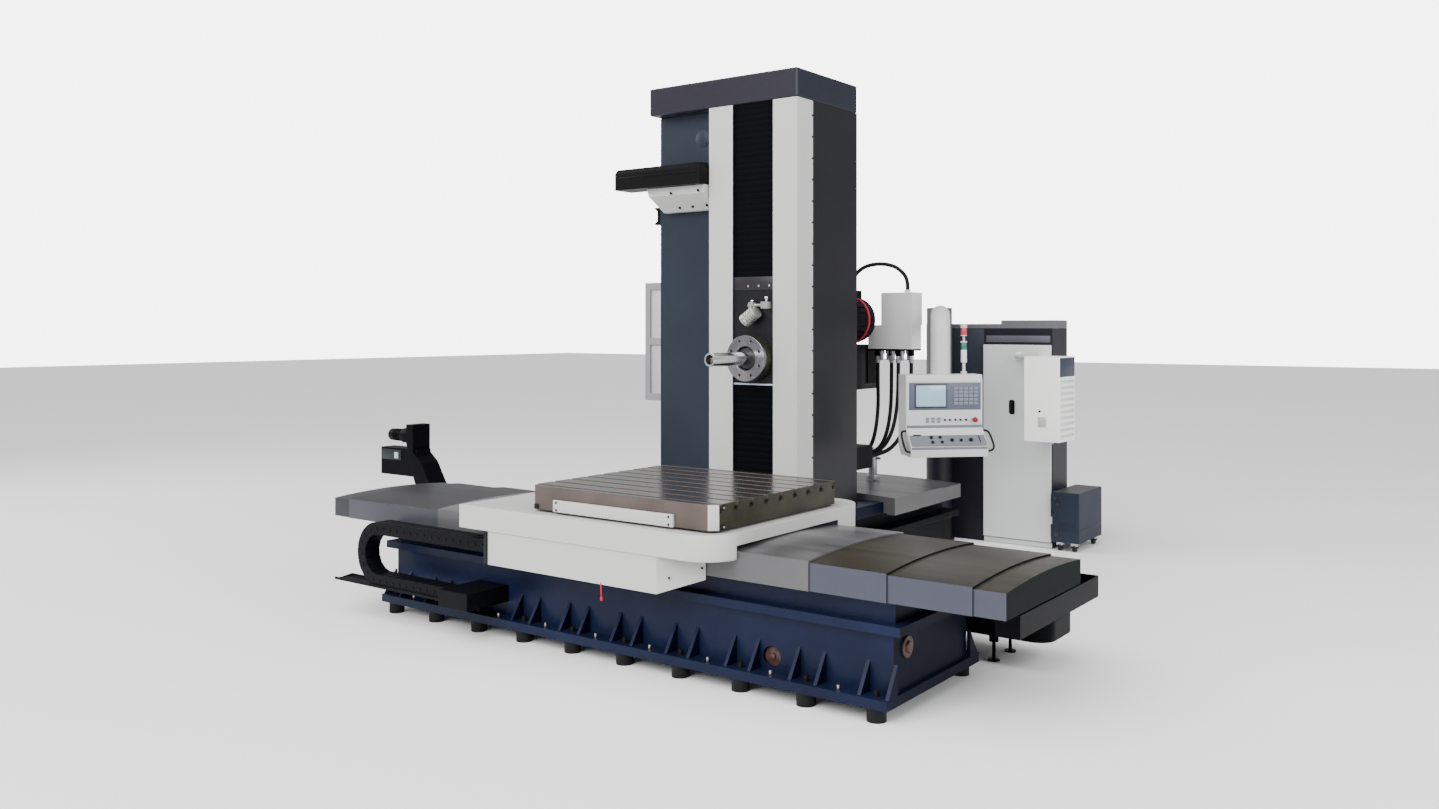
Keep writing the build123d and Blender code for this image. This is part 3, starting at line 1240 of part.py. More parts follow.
# Stop button and key switches of the pendant
BUTTON_HEIGHT = 20
STOP_PLACE = (236, 1412)
STOP_RADIUS = 21
KEY_SWITCH_RADIUS = 9
KEY_SWITCH_XS = (180, 140, 100, 60, 20, -20, -60, -100, -140)
KEY_SWITCH_Z = 1412
panel_plane = Plane(
    origin=(
        BED_X + tube_x + PANEL_FRONT * forward[0], BED_Y + tube_y + PANEL_FRONT * forward[1], 0
    ),
    x_dir=sideways,
    z_dir=forward,
)
with BuildPart() as pendant_controls:
    disc(panel_plane, STOP_PLACE, STOP_RADIUS, 2 * BUTTON_HEIGHT)
    for switch_x in KEY_SWITCH_XS:
        disc(panel_plane, (switch_x, KEY_SWITCH_Z), KEY_SWITCH_RADIUS, BUTTON_HEIGHT)
pendant_controls.part.label = "pendant_controls"
export_step(pendant_controls.part, "parts/pendant_controls.step")

LAMP_SHIFT = 190
LAMP_TOP = 2150
STACK_RADIUS = 26
with BuildPart() as signal_lamp:
    stack = (tube_x + LAMP_SHIFT * sideways[0], tube_y + LAMP_SHIFT * sideways[1])
    disc(level(PENDANT_Z[1]), stack, STACK_RADIUS, LAMP_TOP - PENDANT_Z[1])
signal_lamp.part.label = "signal_lamp"
export_step(signal_lamp.part, "parts/signal_lamp.step")
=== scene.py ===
import math

import bpy
from mathutils import Matrix, Vector


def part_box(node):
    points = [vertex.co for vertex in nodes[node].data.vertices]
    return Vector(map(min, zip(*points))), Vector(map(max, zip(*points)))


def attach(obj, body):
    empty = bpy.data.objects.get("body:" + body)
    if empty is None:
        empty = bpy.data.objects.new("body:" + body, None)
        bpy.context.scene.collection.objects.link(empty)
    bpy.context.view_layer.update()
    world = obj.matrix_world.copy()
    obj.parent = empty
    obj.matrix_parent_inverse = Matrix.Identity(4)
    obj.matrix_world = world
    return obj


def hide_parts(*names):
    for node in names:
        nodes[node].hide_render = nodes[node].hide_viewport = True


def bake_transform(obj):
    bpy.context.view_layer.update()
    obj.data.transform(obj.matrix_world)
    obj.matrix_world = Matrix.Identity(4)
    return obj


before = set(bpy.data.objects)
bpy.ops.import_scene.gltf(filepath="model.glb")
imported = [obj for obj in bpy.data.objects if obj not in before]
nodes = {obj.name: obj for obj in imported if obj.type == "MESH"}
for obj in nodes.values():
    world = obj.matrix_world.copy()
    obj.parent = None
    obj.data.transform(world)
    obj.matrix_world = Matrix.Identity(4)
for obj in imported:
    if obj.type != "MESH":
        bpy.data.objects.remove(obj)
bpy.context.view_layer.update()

# Camera
# The machine is seen from beyond its front right corner, level, at a little over head height.
# The picture is framed a little low, as the photograph is.
CAMERA_PLACE = (5.764, -8.340, 2.130)
CAMERA_TURN = math.radians(36.48)
CAMERA_LENS = 29.17
CAMERA_SHIFT = -0.0543
bpy.ops.object.camera_add(location=CAMERA_PLACE, rotation=(math.pi / 2, 0, CAMERA_TURN))
camera = bpy.context.object
camera.name = "camera"
camera.data.lens = CAMERA_LENS
camera.data.shift_y = CAMERA_SHIFT
bpy.context.scene.camera = camera


# Hoses and conduit
# Corrugated black plastic hoses hang from the glands under the junction box to the terminal
# on the column's back. They are held at both ends only. A stiffer conduit, screwed into both
# boxes, arches over to the spindle motor.
DRIFT_ENDS = (0.3, 0.7)
GLOSS_SPREAD = 0.07
LEAST_GLOSS = 0.05


def drifting(tree, place, colour, drift, patch, detail):
    """Colour that drifts in patches over a piece."""
    patches = tree.nodes.new("ShaderNodeTexNoise")
    patches.inputs["Scale"].default_value = patch
    patches.inputs["Detail"].default_value = detail
    tree.links.new(place, patches.inputs["Vector"])
    tones = tree.nodes.new("ShaderNodeValToRGB")
    for element, position, share in zip(tones.color_ramp.elements, DRIFT_ENDS, (1 - drift, 1 + drift)):
        element.position = position
        element.color = (*[min(1, part * share) for part in colour], 1)
    tree.links.new(patches.outputs["Fac"], tones.inputs["Fac"])
    return tones.outputs["Color"]


def stretched(tree, place, scale):
    """Place on a piece, stretched along its three axes."""
    stretch = tree.nodes.new("ShaderNodeMapping")
    stretch.inputs["Scale"].default_value = scale
    tree.links.new(place, stretch.inputs["Vector"])
    return stretch.outputs["Vector"]


def surface(name, colour, gloss, metal=0.0, drift=0.1, patch=2.0, grain=160.0, relief=0.1, way=(1, 1, 1),
            shine=0.25):
    """Finish whose colour drifts in patches, with uneven gloss and a fine relief. way
    stretches the relief, as in a ground or brushed surface. shine is how much it mirrors."""
    material = bpy.data.materials.new(name)
    material.use_nodes = True
    tree = material.node_tree
    shader = tree.nodes["Principled BSDF"]
    shader.inputs["Metallic"].default_value = metal
    shader.inputs["Specular IOR Level"].default_value = shine
    place = tree.nodes.new("ShaderNodeTexCoord").outputs["Object"]
    tone = drifting(tree, place, colour, drift, patch, detail=6)
    tree.links.new(tone, shader.inputs["Base Color"])
    fine = tree.nodes.new("ShaderNodeTexNoise")
    fine.inputs["Scale"].default_value = grain
    fine.inputs["Detail"].default_value = 3
    tree.links.new(stretched(tree, place, way), fine.inputs["Vector"])
    sheen = tree.nodes.new("ShaderNodeMapRange")
    sheen.inputs["To Min"].default_value = max(LEAST_GLOSS, gloss - GLOSS_SPREAD)
    sheen.inputs["To Max"].default_value = gloss + GLOSS_SPREAD
    tree.links.new(fine.outputs["Fac"], sheen.inputs["Value"])
    tree.links.new(sheen.outputs["Result"], shader.inputs["Roughness"])
    bump = tree.nodes.new("ShaderNodeBump")
    bump.inputs["Strength"].default_value = relief
    bump.inputs["Distance"].default_value = 0.001
    tree.links.new(fine.outputs["Fac"], bump.inputs["Height"])
    tree.links.new(bump.outputs["Normal"], shader.inputs["Normal"])
    return material


def finish(piece, name, material, body):
    """Names a made piece, gives it its finish and sets it on its body. Without a material it
    keeps the finishes that it has."""
    piece.name = name
    piece.data.name = name
    if material:
        piece.data.materials.clear()
        piece.data.materials.append(material)
    if body:
        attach(piece, body)
    return piece


def spline_through(name, points):
    """Smooth line of a cord, with the points of its route as control points."""
    curve = bpy.data.curves.new(name, "CURVE")
    curve.dimensions = "3D"
    curve.resolution_u = 24
    line = curve.splines.new("NURBS")
    line.points.add(len(points) - 1)
    for point, place in zip(line.points, points):
        point.co = (*place, 1)
    line.order_u = 3
    line.use_endpoint_u = True
    piece = bpy.data.objects.new(name, curve)
    bpy.context.scene.collection.objects.link(piece)
    return piece


def line_of(piece):
    """Points along a cord's line, in order."""
    line = bpy.data.meshes.new_from_object(piece)
    points = [vertex.co.copy() for vertex in line.vertices]
    bpy.data.meshes.remove(line)
    return points


def corrugated(name, points, diameter, pitch, sides=16, valley=0.86):
    """Hose with rings, as a mesh round the line of its route, and that line. valley is the
    share of its width that is left between two rings."""
    guide = spline_through(name + "_guide", points)
    line = line_of(guide)
    bpy.data.objects.remove(guide)
    reach = [0.0]
    for before, here in zip(line, line[1:]):
        reach.append(reach[-1] + (here - before).length)
    rings = int(reach[-1] / pitch) * 2
    vertices = []
    place = 0
    side = Vector((1, 0, 0))
    for ring in range(rings + 1):
        at = reach[-1] * ring / rings
        while place < len(line) - 2 and reach[place + 1] < at:
            place += 1
        share = (at - reach[place]) / (reach[place + 1] - reach[place])
        centre = line[place].lerp(line[place + 1], share)
        along = (line[place + 1] - line[place]).normalized()
        side = (side - along * side.dot(along)).normalized()
        up = along.cross(side)
        radius = diameter / 2 * (1 if ring % 2 else valley)
        for step in range(sides):
            angle = math.tau * step / sides
            vertices.append(centre + (side * math.cos(angle) + up * math.sin(angle)) * radius)
    faces = [
        (ring * sides + step, ring * sides + (step + 1) % sides,
         (ring + 1) * sides + (step + 1) % sides, (ring + 1) * sides + step)
        for ring in range(rings) for step in range(sides)
    ]
    faces.append(tuple(reversed(range(sides))))
    faces.append(tuple(range(rings * sides, (rings + 1) * sides)))
    mesh = bpy.data.meshes.new(name)
    mesh.from_pydata(vertices, [], faces)
    for face in mesh.polygons:
        face.use_smooth = len(face.vertices) == 4
    piece = bpy.data.objects.new(name, mesh)
    bpy.context.scene.collection.objects.link(piece)
    return piece, line


BED_SHIFT = Vector((0.676, -2.835, 0))


def placed(x, y, z):
    """Place in the scene of a point measured from the bed."""
    return Vector((x, y, z)) + BED_SHIFT


HOSE_DIAMETER = 0.034
HOSE_TOP = 1.883
HOSE_END_Z = 1.090
HOSE_END_Y = 2.780
HOSE_LAST_RUN = 0.110
HOSE_PITCH = 0.009
HOSE_STARTS = [(0.300, 3.225), (0.400, 3.280), (0.490, 3.230), (0.580, 3.290)]
HOSE_END_XS = (0.355, 0.400, 0.445, 0.490)
HANGS = [
    [(0, 0, 0.72), (0.006, -0.004, 0.45), (0.016, -0.068, 0.20), (0.034, -0.182, 0.05)],
    [(0, 0, 0.70), (0.004, -0.022, 0.41), (0.010, -0.105, 0.17), (0.008, -0.228, 0.03)],
    [(0, 0, 0.74), (-0.006, -0.006, 0.47), (-0.018, -0.056, 0.23), (-0.032, -0.166, 0.07)],
    [(0, 0, 0.71), (-0.010, -0.016, 0.43), (-0.034, -0.098, 0.18), (-0.066, -0.226, 0.04)],
]
hose_plastic = surface("hose_plastic", (0.006, 0.005, 0.007), 0.42, grain=300, relief=0.06, shine=0.15)
for i, (start, end_x, hang) in enumerate(zip(HOSE_STARTS, HOSE_END_XS, HANGS), start=1):
    route = [placed(*start, HOSE_TOP)]
    for shift_x, shift_y, share in hang:
        height = HOSE_END_Z + share * (HOSE_TOP - HOSE_END_Z)
        route.append(placed(start[0] + shift_x, start[1] + shift_y, height))
    route.append(placed(end_x, HOSE_END_Y + HOSE_LAST_RUN, HOSE_END_Z))
    route.append(placed(end_x, HOSE_END_Y, HOSE_END_Z))
    hose, line = corrugated(f"hanging_hose_{i}", route, HOSE_DIAMETER, HOSE_PITCH)
    finish(hose, f"hanging_hose_{i}", hose_plastic, None)
    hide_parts(f"hose_{i}")
    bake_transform(hose)

CONDUIT_DIAMETER = 0.036
CONDUIT_PITCH = 0.008
CONDUIT_FROM = placed(0.560, 3.265, 2.4345)
CONDUIT_TO = placed(0.164, 3.020, 2.430)
ARCH = [(0, 0), (0, 0.080), (0.09, 0.150), (0.25, 0.205), (0.5, 0.225), (0.75, 0.205), (0.91, 0.150),
        (1, 0.080), (1, 0)]
route = [CONDUIT_FROM.lerp(CONDUIT_TO, share) + Vector((0, 0, rise)) for share, rise in ARCH]
arched, line = corrugated("arched_conduit", route, CONDUIT_DIAMETER, CONDUIT_PITCH)
finish(arched, "arched_conduit", hose_plastic, "headstock")
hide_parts("conduit")


# Bed
# Two iron castings, painted dark blue: a long one under the table and one behind it under the
# column. The long one's faces that look right are coloured darker, and the rear one near black,
# as painted shade. Each stands on round pads, set level by screws through its foot flange. A
# turned plug closes the hand hole in the front and the oil drain in the right end.
def select(*pieces):
    """Selects these pieces only, the first of them as the active one."""
    bpy.ops.object.select_all(action="DESELECT")
    for piece in pieces:
        piece.select_set(True)
    bpy.context.view_layer.objects.active = pieces[0]


def settle(piece):
    """Puts a piece's turn, size and place into its mesh."""
    select(piece)
    bpy.ops.object.transform_apply(location=True, rotation=True, scale=True)
    return piece


def roll_edges(piece, width, sharp=40, smooth=35):
    """Rounds the edges of a closed piece that turn by more than sharp, and shades it smooth
    over those that turn by less than smooth, in degrees."""
    select(piece)
    bpy.ops.object.mode_set(mode="EDIT")
    bpy.ops.mesh.select_mode(type="EDGE")
    bpy.ops.mesh.select_all(action="DESELECT")
    bpy.ops.mesh.edges_select_sharp(sharpness=math.radians(sharp))
    bpy.ops.mesh.bevel(offset=width, segments=2, affect="EDGES", clamp_overlap=True)
    bpy.ops.object.mode_set(mode="OBJECT")
    bpy.ops.object.shade_smooth_by_angle(angle=math.radians(smooth))
    return piece


def block(low, high, edge=0.003):
    """Plate or box between two corners, with rounded edges."""
    low, high = Vector(low), Vector(high)
    bpy.ops.mesh.primitive_cube_add(size=1, location=(low + high) / 2)
    piece = bpy.context.object
    piece.scale = high - low
    return roll_edges(settle(piece), edge)


def rod(start, end, radius, edge=0.002, sides=32):
    """Round bar between two points, with its rims rounded."""
    turn = (end - start).to_track_quat("Z", "Y").to_euler()
    bpy.ops.mesh.primitive_cylinder_add(
        vertices=sides, radius=radius, depth=(end - start).length, location=(start + end) / 2, rotation=turn
    )
    return roll_edges(settle(bpy.context.object), edge, sharp=60)


def stub(place, way, start, end, radius, edge=0.002, sides=32):
    """Round bar along one way through a place, from one distance to another."""
    return rod(place + way * start, place + way * end, radius, edge, sides)


def joined(pieces):
    """One object from several."""
    select(*pieces)
    if len(pieces) > 1:
        bpy.ops.object.join()
    return bpy.context.view_layer.objects.active


def copies(piece, shifts):
    """Copies of a piece at each shift, as one object; the first stays where it is."""
    made = [piece]
    for shift in shifts:
        copy = piece.copy()
        copy.data = piece.data.copy()
        copy.data.transform(Matrix.Translation(shift))
        bpy.context.scene.collection.objects.link(copy)
        made.append(copy)
    return joined(made)


def screws(name, places, out, radius, material, body, rise=0.8, sunk=0.2, rounding=0.15):
    """Row of screws whose heads stand out along one direction. rise, sunk and rounding are
    shares of their radius."""
    first = Vector(places[0])
    head = rod(first - out * radius * sunk, first + out * radius * rise, radius, radius * rounding, sides=12)
    row = copies(head, [Vector(place) - first for place in places[1:]])
    return finish(row, name, material, body)


def repaint(material, *names):
    """Gives CAD nodes their finish."""
    for name in names:
        mesh = nodes[name].data
        mesh.materials.clear()
        mesh.materials.append(material)


def soften(width, *names):
    """Rounds the sharp edges of CAD nodes by modifiers, so that they catch the light."""
    for name in names:
        node = nodes[name]
        weld = node.modifiers.new("weld", "WELD")
        weld.merge_threshold = 0.00001
        flat = node.modifiers.new("flat", "DECIMATE")
        flat.decimate_type = "DISSOLVE"
        flat.angle_limit = math.radians(1)
        edge = node.modifiers.new("edge", "BEVEL")
        edge.width = width
        edge.segments = 2
        edge.limit_method = "ANGLE"
        edge.angle_limit = math.radians(40)


def tinted(material, axis, over, colour, gloss, metal=0.0, drift=0.12, patch=3.0, marks=(1, 1, 1),
           by="Normal", shine=0.25):
    """Gives the faces that look along one of the piece's axes another colour, gloss and metal.
    over is the least share of that axis in the face's direction, negative for the far side. With
    by="Object" it is the place from which the other finish begins. marks stretches its drift, and
    shine is how much it mirrors."""
    tree = material.node_tree
    shader = tree.nodes["Principled BSDF"]
    place = tree.nodes.new("ShaderNodeTexCoord")
    split = tree.nodes.new("ShaderNodeSeparateXYZ")
    tree.links.new(place.outputs[by], split.inputs["Vector"])
    there = tree.nodes.new("ShaderNodeMath")
    there.operation = "GREATER_THAN" if over > 0 else "LESS_THAN"
    there.inputs[1].default_value = over
    tree.links.new(split.outputs[axis], there.inputs[0])
    marked = stretched(tree, place.outputs["Object"], marks)
    tone = drifting(tree, marked, colour, drift, patch, detail=8)
    both = tree.nodes.new("ShaderNodeMix")
    both.data_type = "RGBA"
    tree.links.new(there.outputs["Value"], both.inputs["Factor"])
    tree.links.new(shader.inputs["Base Color"].links[0].from_socket, both.inputs["A"])
    tree.links.new(tone, both.inputs["B"])
    tree.links.new(both.outputs["Result"], shader.inputs["Base Color"])
    for socket, value in (("Metallic", metal), ("Roughness", gloss), ("Specular IOR Level", shine)):
        choice = tree.nodes.new("ShaderNodeMix")
        tree.links.new(there.outputs["Value"], choice.inputs["Factor"])
        if shader.inputs[socket].links:
            tree.links.new(shader.inputs[socket].links[0].from_socket, choice.inputs["A"])
        else:
            choice.inputs["A"].default_value = shader.inputs[socket].default_value
        choice.inputs["B"].default_value = value
        tree.links.new(choice.outputs["Result"], shader.inputs[socket])
    return material


UP = Vector((0, 0, 1))
RIGHT = Vector((1, 0, 0))
FORWARD = Vector((0, -1, 0))
FACING = 0.7
bed_paint_and_side_shade = surface("bed_paint_and_side_shade", (0.0062, 0.0100, 0.031), 0.34, drift=0.35, patch=1.6, grain=90, relief=0.35,
                    shine=0.12)
# Faces that look right are coloured darker: painted shade on the right sides.
tinted(bed_paint_and_side_shade, "X", FACING, (0.0030, 0.0045, 0.0150), 0.40, shine=0.04)
# The rear bed is coloured near black instead of dark blue: painted shade behind the table.
bed_shaded = surface("bed_shaded", (0.002, 0.0023, 0.004), 0.4, drift=0.2, patch=1.6, relief=0.3, shine=0.04)
foot_black = surface("foot_black", (0.005, 0.005, 0.006), 0.5, relief=0.2, shine=0.15)
stud_steel = surface("stud_steel", (0.42, 0.40, 0.38), 0.3, metal=0.9, drift=0.2, patch=40)
plug_brass = surface("plug_brass", (0.075, 0.040, 0.034), 0.35, metal=0.4, drift=0.3, patch=30)
repaint(bed_paint_and_side_shade, "x_bed", "column_slide", "cover_arms")
repaint(bed_shaded, "z_bed")
repaint(foot_black, "levelling_feet")
soften(0.006, "x_bed", "z_bed", "column_slide")
bed_low, bed_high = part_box("x_bed")
PORT_X = 1.301
PORT_Z = 0.209
PORT_RADIUS = 0.061
WALL_INSET = 0.128
PLUG_BACK = -0.040
PLUG_FACE = -0.018
KNOB_FACE = -0.004
port = Vector((PORT_X + BED_SHIFT.x, bed_low.y + WALL_INSET, PORT_Z))
cap = stub(port, FORWARD, PLUG_BACK, PLUG_FACE, PORT_RADIUS * 0.98, edge=0.006)
knob = stub(port, FORWARD, PLUG_FACE, KNOB_FACE, PORT_RADIUS * 0.3, edge=0.003)
finish(joined([cap, knob]), "hand_hole_plug", plug_brass, "frame")
DRAIN_Y = 0.280
DRAIN_Z = 0.365
END_WALL = 0.067
DRAIN_COLLAR = 0.012
DRAIN_HEAD = 0.024
drain = Vector((bed_high.x - END_WALL, bed_low.y + DRAIN_Y, DRAIN_Z))
collar = stub(drain, RIGHT, 0, DRAIN_COLLAR, PORT_RADIUS, edge=0.003)
knob = stub(drain, RIGHT, 0, DRAIN_HEAD, PORT_RADIUS * 0.6, edge=0.004, sides=6)
finish(joined([collar, knob]), "drain_plug", plug_brass, "frame")
FOOT_PITCH = 0.450
STUD_COUNT = 9
STUD_INSET = 0.040
STUD_RADIUS = 0.009
FLANGE_TOP = 0.133
stud_places = [
    (BED_SHIFT.x + (i - (STUD_COUNT - 1) / 2) * FOOT_PITCH, bed_low.y + STUD_INSET, FLANGE_TOP)
    for i in range(STUD_COUNT)
]
screws("flange_studs", stud_places, UP, STUD_RADIUS, stud_steel, "frame", rise=3)

# Telescopic covers
# Folded steel plates that slide over each other as the saddle travels, on both sides of the
# table. They are left bare, brushed along the bed, and each ends in a lip that wipes the next.
# Those behind the column are like them. Their tops, and the right and left faces of the right
# and end covers, are given other colours as painted light and shade.
BRUSHED = (0.05, 1.6, 1.6)
ACROSS = (0.4, 3.0, 1.0)
LEFT_OF = -0.5


def brushed(name, colour, gloss, drift):
    """Bare sheet, brushed along the bed."""
    return surface(name, colour, gloss, metal=0.3, drift=drift, patch=1.1, grain=120, way=BRUSHED)


cover_left = brushed("cover_left", (0.058, 0.061, 0.073), 0.36, 0.14)
# The tops are coloured darker than the sides: painted shade.
tinted(cover_left, "Z", FACING, (0.017, 0.017, 0.020), 0.38, metal=0.1, drift=0.35, marks=ACROSS)
cover_middle = brushed("cover_middle", (0.095, 0.095, 0.098), 0.34, 0.14)
# The tops are coloured lighter and more metallic than the sides: painted sheen.
tinted(cover_middle, "Z", FACING, (0.115, 0.113, 0.120), 0.28, metal=0.5, drift=0.5, marks=ACROSS)
cover_right = brushed("cover_right", (0.055, 0.058, 0.080), 0.36, 0.12)
# The tops are coloured a darker olive, and the faces that look right near black: painted shade.
tinted(cover_right, "Z", FACING, (0.020, 0.017, 0.011), 0.38, drift=0.6, marks=ACROSS)
tinted(cover_right, "X", FACING, (0.006, 0.008, 0.008), 0.6, shine=0.03)
cover_ends = cover_right.copy()
cover_ends.name = "cover_ends"
# Faces that look left are coloured darker as painted shade. Left of x = -0.5 the cover takes a darker grey.
tinted(cover_ends, "X", -FACING, (0.045, 0.047, 0.056), 0.38, metal=0.2)
tinted(cover_ends, "X", LEFT_OF, (0.030, 0.031, 0.036), 0.38, metal=0.2, drift=0.3, marks=ACROSS, by="Object")
repaint(cover_left, "x_cover_left_outer", "x_cover_left_inner")
repaint(cover_middle, "x_cover_saddle", "z_cover")
repaint(cover_right, "x_cover_right_outer", "x_cover_right_inner")
repaint(cover_ends, "x_cover_fixed")

# Saddle with its drip tray
# An iron casting carries the turning table. A white powder-coated tray round it catches the
# coolant, and a white apron is screwed under the tray's front edge. On the apron are the black
# stop for the energy chain and a red pull for the lubrication.
SMALL_SCREW = 0.007
white_sheet = surface("white_sheet", (0.445, 0.443, 0.435), 0.42, drift=0.03, patch=0.8, grain=220,
                      relief=0.08)
screw_black = surface("screw_black", (0.006, 0.006, 0.007), 0.4, shine=0.2)
repaint(bed_paint_and_side_shade, "saddle")
repaint(white_sheet, "saddle_tray", "saddle_skirt", "table_plate")
soften(0.003, "saddle_tray", "table_plate")
skirt_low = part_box("saddle_skirt")[0]
SLANT = Vector((1, -1, 0)).normalized()
SLANT_SCREWS = [placed(0.890, -0.003, 0.695), placed(0.751, -0.142, 0.643)]
screws("skirt_screws", SLANT_SCREWS, SLANT, SMALL_SCREW, screw_black, "saddle")
STOP_WIDTH = 0.026
STOP_Y = (-0.014, 0.012)
STOP_Z = (0.556, 0.765)
chain_stop = block((skirt_low.x - STOP_WIDTH, skirt_low.y + STOP_Y[0], STOP_Z[0]),
                   (skirt_low.x, skirt_low.y + STOP_Y[1], STOP_Z[1]))
finish(chain_stop, "chain_stop", screw_black, "saddle")
pull_red = surface("pull_red", (0.42, 0.010, 0.030), 0.35)
PULL_X = 0.250
PULL_Y = 0.003
PULL_RISE = 0.012
PULL_END = Vector((0.006, 0, -0.090))
GRIP_START = Vector((0.006, 0, -0.088))
GRIP_END = Vector((0.007, 0, -0.112))
PULL_RADIUS = 0.005
GRIP_RADIUS = 0.009
pull_top = Vector((PULL_X + BED_SHIFT.x, skirt_low.y + PULL_Y, skirt_low.z + PULL_RISE))
pull = rod(pull_top, pull_top + PULL_END, PULL_RADIUS, edge=0.001, sides=12)
grip = rod(pull_top + GRIP_START, pull_top + GRIP_END, GRIP_RADIUS, edge=0.003, sides=16)
finish(joined([pull, grip]), "lubrication_pull", pull_red, "saddle")

# Turning table
# Cast iron, ground bright on top, with T-slots milled along it for the clamping bolts. Its
# sides are left as machined and have gone brown with oil; the right side is coloured darker
# still as painted shade. Small black pads are fixed to them.
STRAIGHT = 0.9
table_iron_and_side_shade = surface("table_iron_and_side_shade", (0.090, 0.070, 0.064), 0.40, metal=0.3, drift=0.25, patch=3, grain=120,
                     relief=0.3)
# The faces that look right are coloured darker: painted shade.
tinted(table_iron_and_side_shade, "X", STRAIGHT, (0.026, 0.023, 0.014), 0.42, metal=0.2, drift=0.4, patch=6)
tinted(table_iron_and_side_shade, "Z", FACING, (0.130, 0.127, 0.126), 0.20, metal=0.8, drift=0.25, patch=9,
       marks=(0.25, 6, 1))
repaint(table_iron_and_side_shade, "table")
soften(0.002, "table")
PLATE_INSET = 0.030
plate_low, plate_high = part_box("table_plate")
plate_screws = [
    (x, plate_low.y, z)
    for x in (plate_low.x + PLATE_INSET, plate_high.x - PLATE_INSET)
    for z in (plate_low.z + PLATE_INSET / 2, plate_high.z - PLATE_INSET / 2)
]
screws("table_plate_screws", plate_screws, FORWARD, SMALL_SCREW, screw_black, "table")
SUNK = 0.001
PAD = 0.032
PAD_RISE = 0.010
PAD_SET = 0.062
FRONT_PAD_SET = 0.052
PAD_GAPS = (0.004, 0.006)
table_low, table_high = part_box("table")
pad_heights = (table_low.z + PAD_GAPS[0], table_high.z - PAD - PAD_GAPS[1])
pads = [
    block((table_high.x - SUNK, table_low.y + PAD_SET, z),
          (table_high.x + PAD_RISE, table_low.y + PAD_SET + PAD, z + PAD))
    for z in pad_heights
]
pad_x = table_low.x + FRONT_PAD_SET
pads.append(block((pad_x, table_low.y - PAD_RISE, pad_heights[0]),
                  (pad_x + PAD, table_low.y + SUNK, pad_heights[0] + PAD)))
finish(joined(pads), "clamp_pads", screw_black, "table")
pad_screws = [(table_high.x + PAD_RISE, table_low.y + PAD_SET + PAD / 2, z + PAD / 2) for z in pad_heights]
screws("clamp_screws", pad_screws, RIGHT, SMALL_SCREW, stud_steel, "table")
corner_steel = surface("corner_steel", (0.46, 0.455, 0.45), 0.3, drift=0.05, way=(1, 1, 12))
CHAMFER = 0.050
CHAMFER_TURN = math.radians(45)
CORNER_THICK = 0.002
CORNER_GAP = 0.004
corner_place = (table_high.x - CHAMFER / 2, table_low.y + CHAMFER / 2, (table_low.z + table_high.z) / 2)
bpy.ops.mesh.primitive_cube_add(size=1, location=corner_place, rotation=(0, 0, CHAMFER_TURN))
corner_plate = bpy.context.object
corner_height = table_high.z - table_low.z - CORNER_GAP
corner_plate.scale = (CHAMFER * math.sqrt(2) - CORNER_GAP, CORNER_THICK, corner_height)
roll_edges(settle(corner_plate), 0.0006)
finish(corner_plate, "ground_corner", corner_steel, "table")

# Column
# A tall iron casting, painted blue-grey, bolted on a slide plate. Its cap is a second
# casting. The faces of both that look right are coloured darker as painted shade. White folded
# covers are screwed over the two ways, and a plug closes the hole that the column is lifted by.
column_paint_and_side_shade = surface("column_paint_and_side_shade", (0.012, 0.017, 0.029), 0.36, drift=0.2, patch=0.9, grain=70,
                       relief=0.3)
# Faces that look right are coloured darker and greyer: painted shade.
tinted(column_paint_and_side_shade, "X", FACING, (0.0045, 0.0045, 0.0068), 0.36, drift=0.35, patch=0.9)
cap_paint_and_side_shade = surface("cap_paint_and_side_shade", (0.012, 0.0105, 0.018), 0.36, drift=0.2, patch=0.9, grain=70, relief=0.3)
# Faces that look right are coloured darker and bluer: painted shade.
tinted(cap_paint_and_side_shade, "X", FACING, (0.008, 0.0105, 0.020), 0.36, drift=0.3, patch=0.9)
repaint(column_paint_and_side_shade, "column")
repaint(cap_paint_and_side_shade, "column_cap")
repaint(white_sheet, "way_cover_left", "way_cover_right")
soften(0.012, "column", "column_cap")
soften(0.002, "way_cover_left", "way_cover_right")
EDGE_INSET = 0.013
SCREW_PITCH = 0.158
FIRST_SCREW = 0.7
cover_low, cover_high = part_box("way_cover_right")
edge_screws = [
    (cover_high.x, cover_high.y - EDGE_INSET, cover_high.z - SCREW_PITCH * (i + FIRST_SCREW))
    for i in range(int((cover_high.z - cover_low.z) / SCREW_PITCH))
]
screws("way_cover_screws", edge_screws, RIGHT, SMALL_SCREW, screw_black, "frame")
LIFT_PLACE = placed(-0.443, 1.756, 3.600)
LIFT_RADIUS = 0.068
LIFT_RING = (-0.010, 0.005)
LIFT_HUB = 0.009
ring = stub(LIFT_PLACE, FORWARD, *LIFT_RING, LIFT_RADIUS, sides=48)
hub = stub(LIFT_PLACE, FORWARD, 0, LIFT_HUB, LIFT_RADIUS * 0.78, sides=48)
finish(joined([ring, hub]), "lift_plug", column_paint_and_side_shade, "frame")


# Roll-up curtains
# Black slats on a thin back close the window above and below the headstock. They roll off
# drums at the column's two ends, and their near edges are hooked to the headstock.
def slatted(name, node, pitch):
    """Curtain of slats that replaces a node."""
    low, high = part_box(node)
    count = round((high.z - low.z) / pitch)
    step = (high.z - low.z) / count
    slat = block(low, (high.x, high.y, low.z + step * SLAT_SHARE), THIN_EDGE)
    slats = copies(slat, [UP * (step * i) for i in range(1, count)])
    back = block((low.x, (low.y + high.y) / 2, low.z), high, 0.0005)
    curtain = joined([slats, back])
    finish(curtain, name, curtain_black, None)
    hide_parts(node)
    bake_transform(curtain)


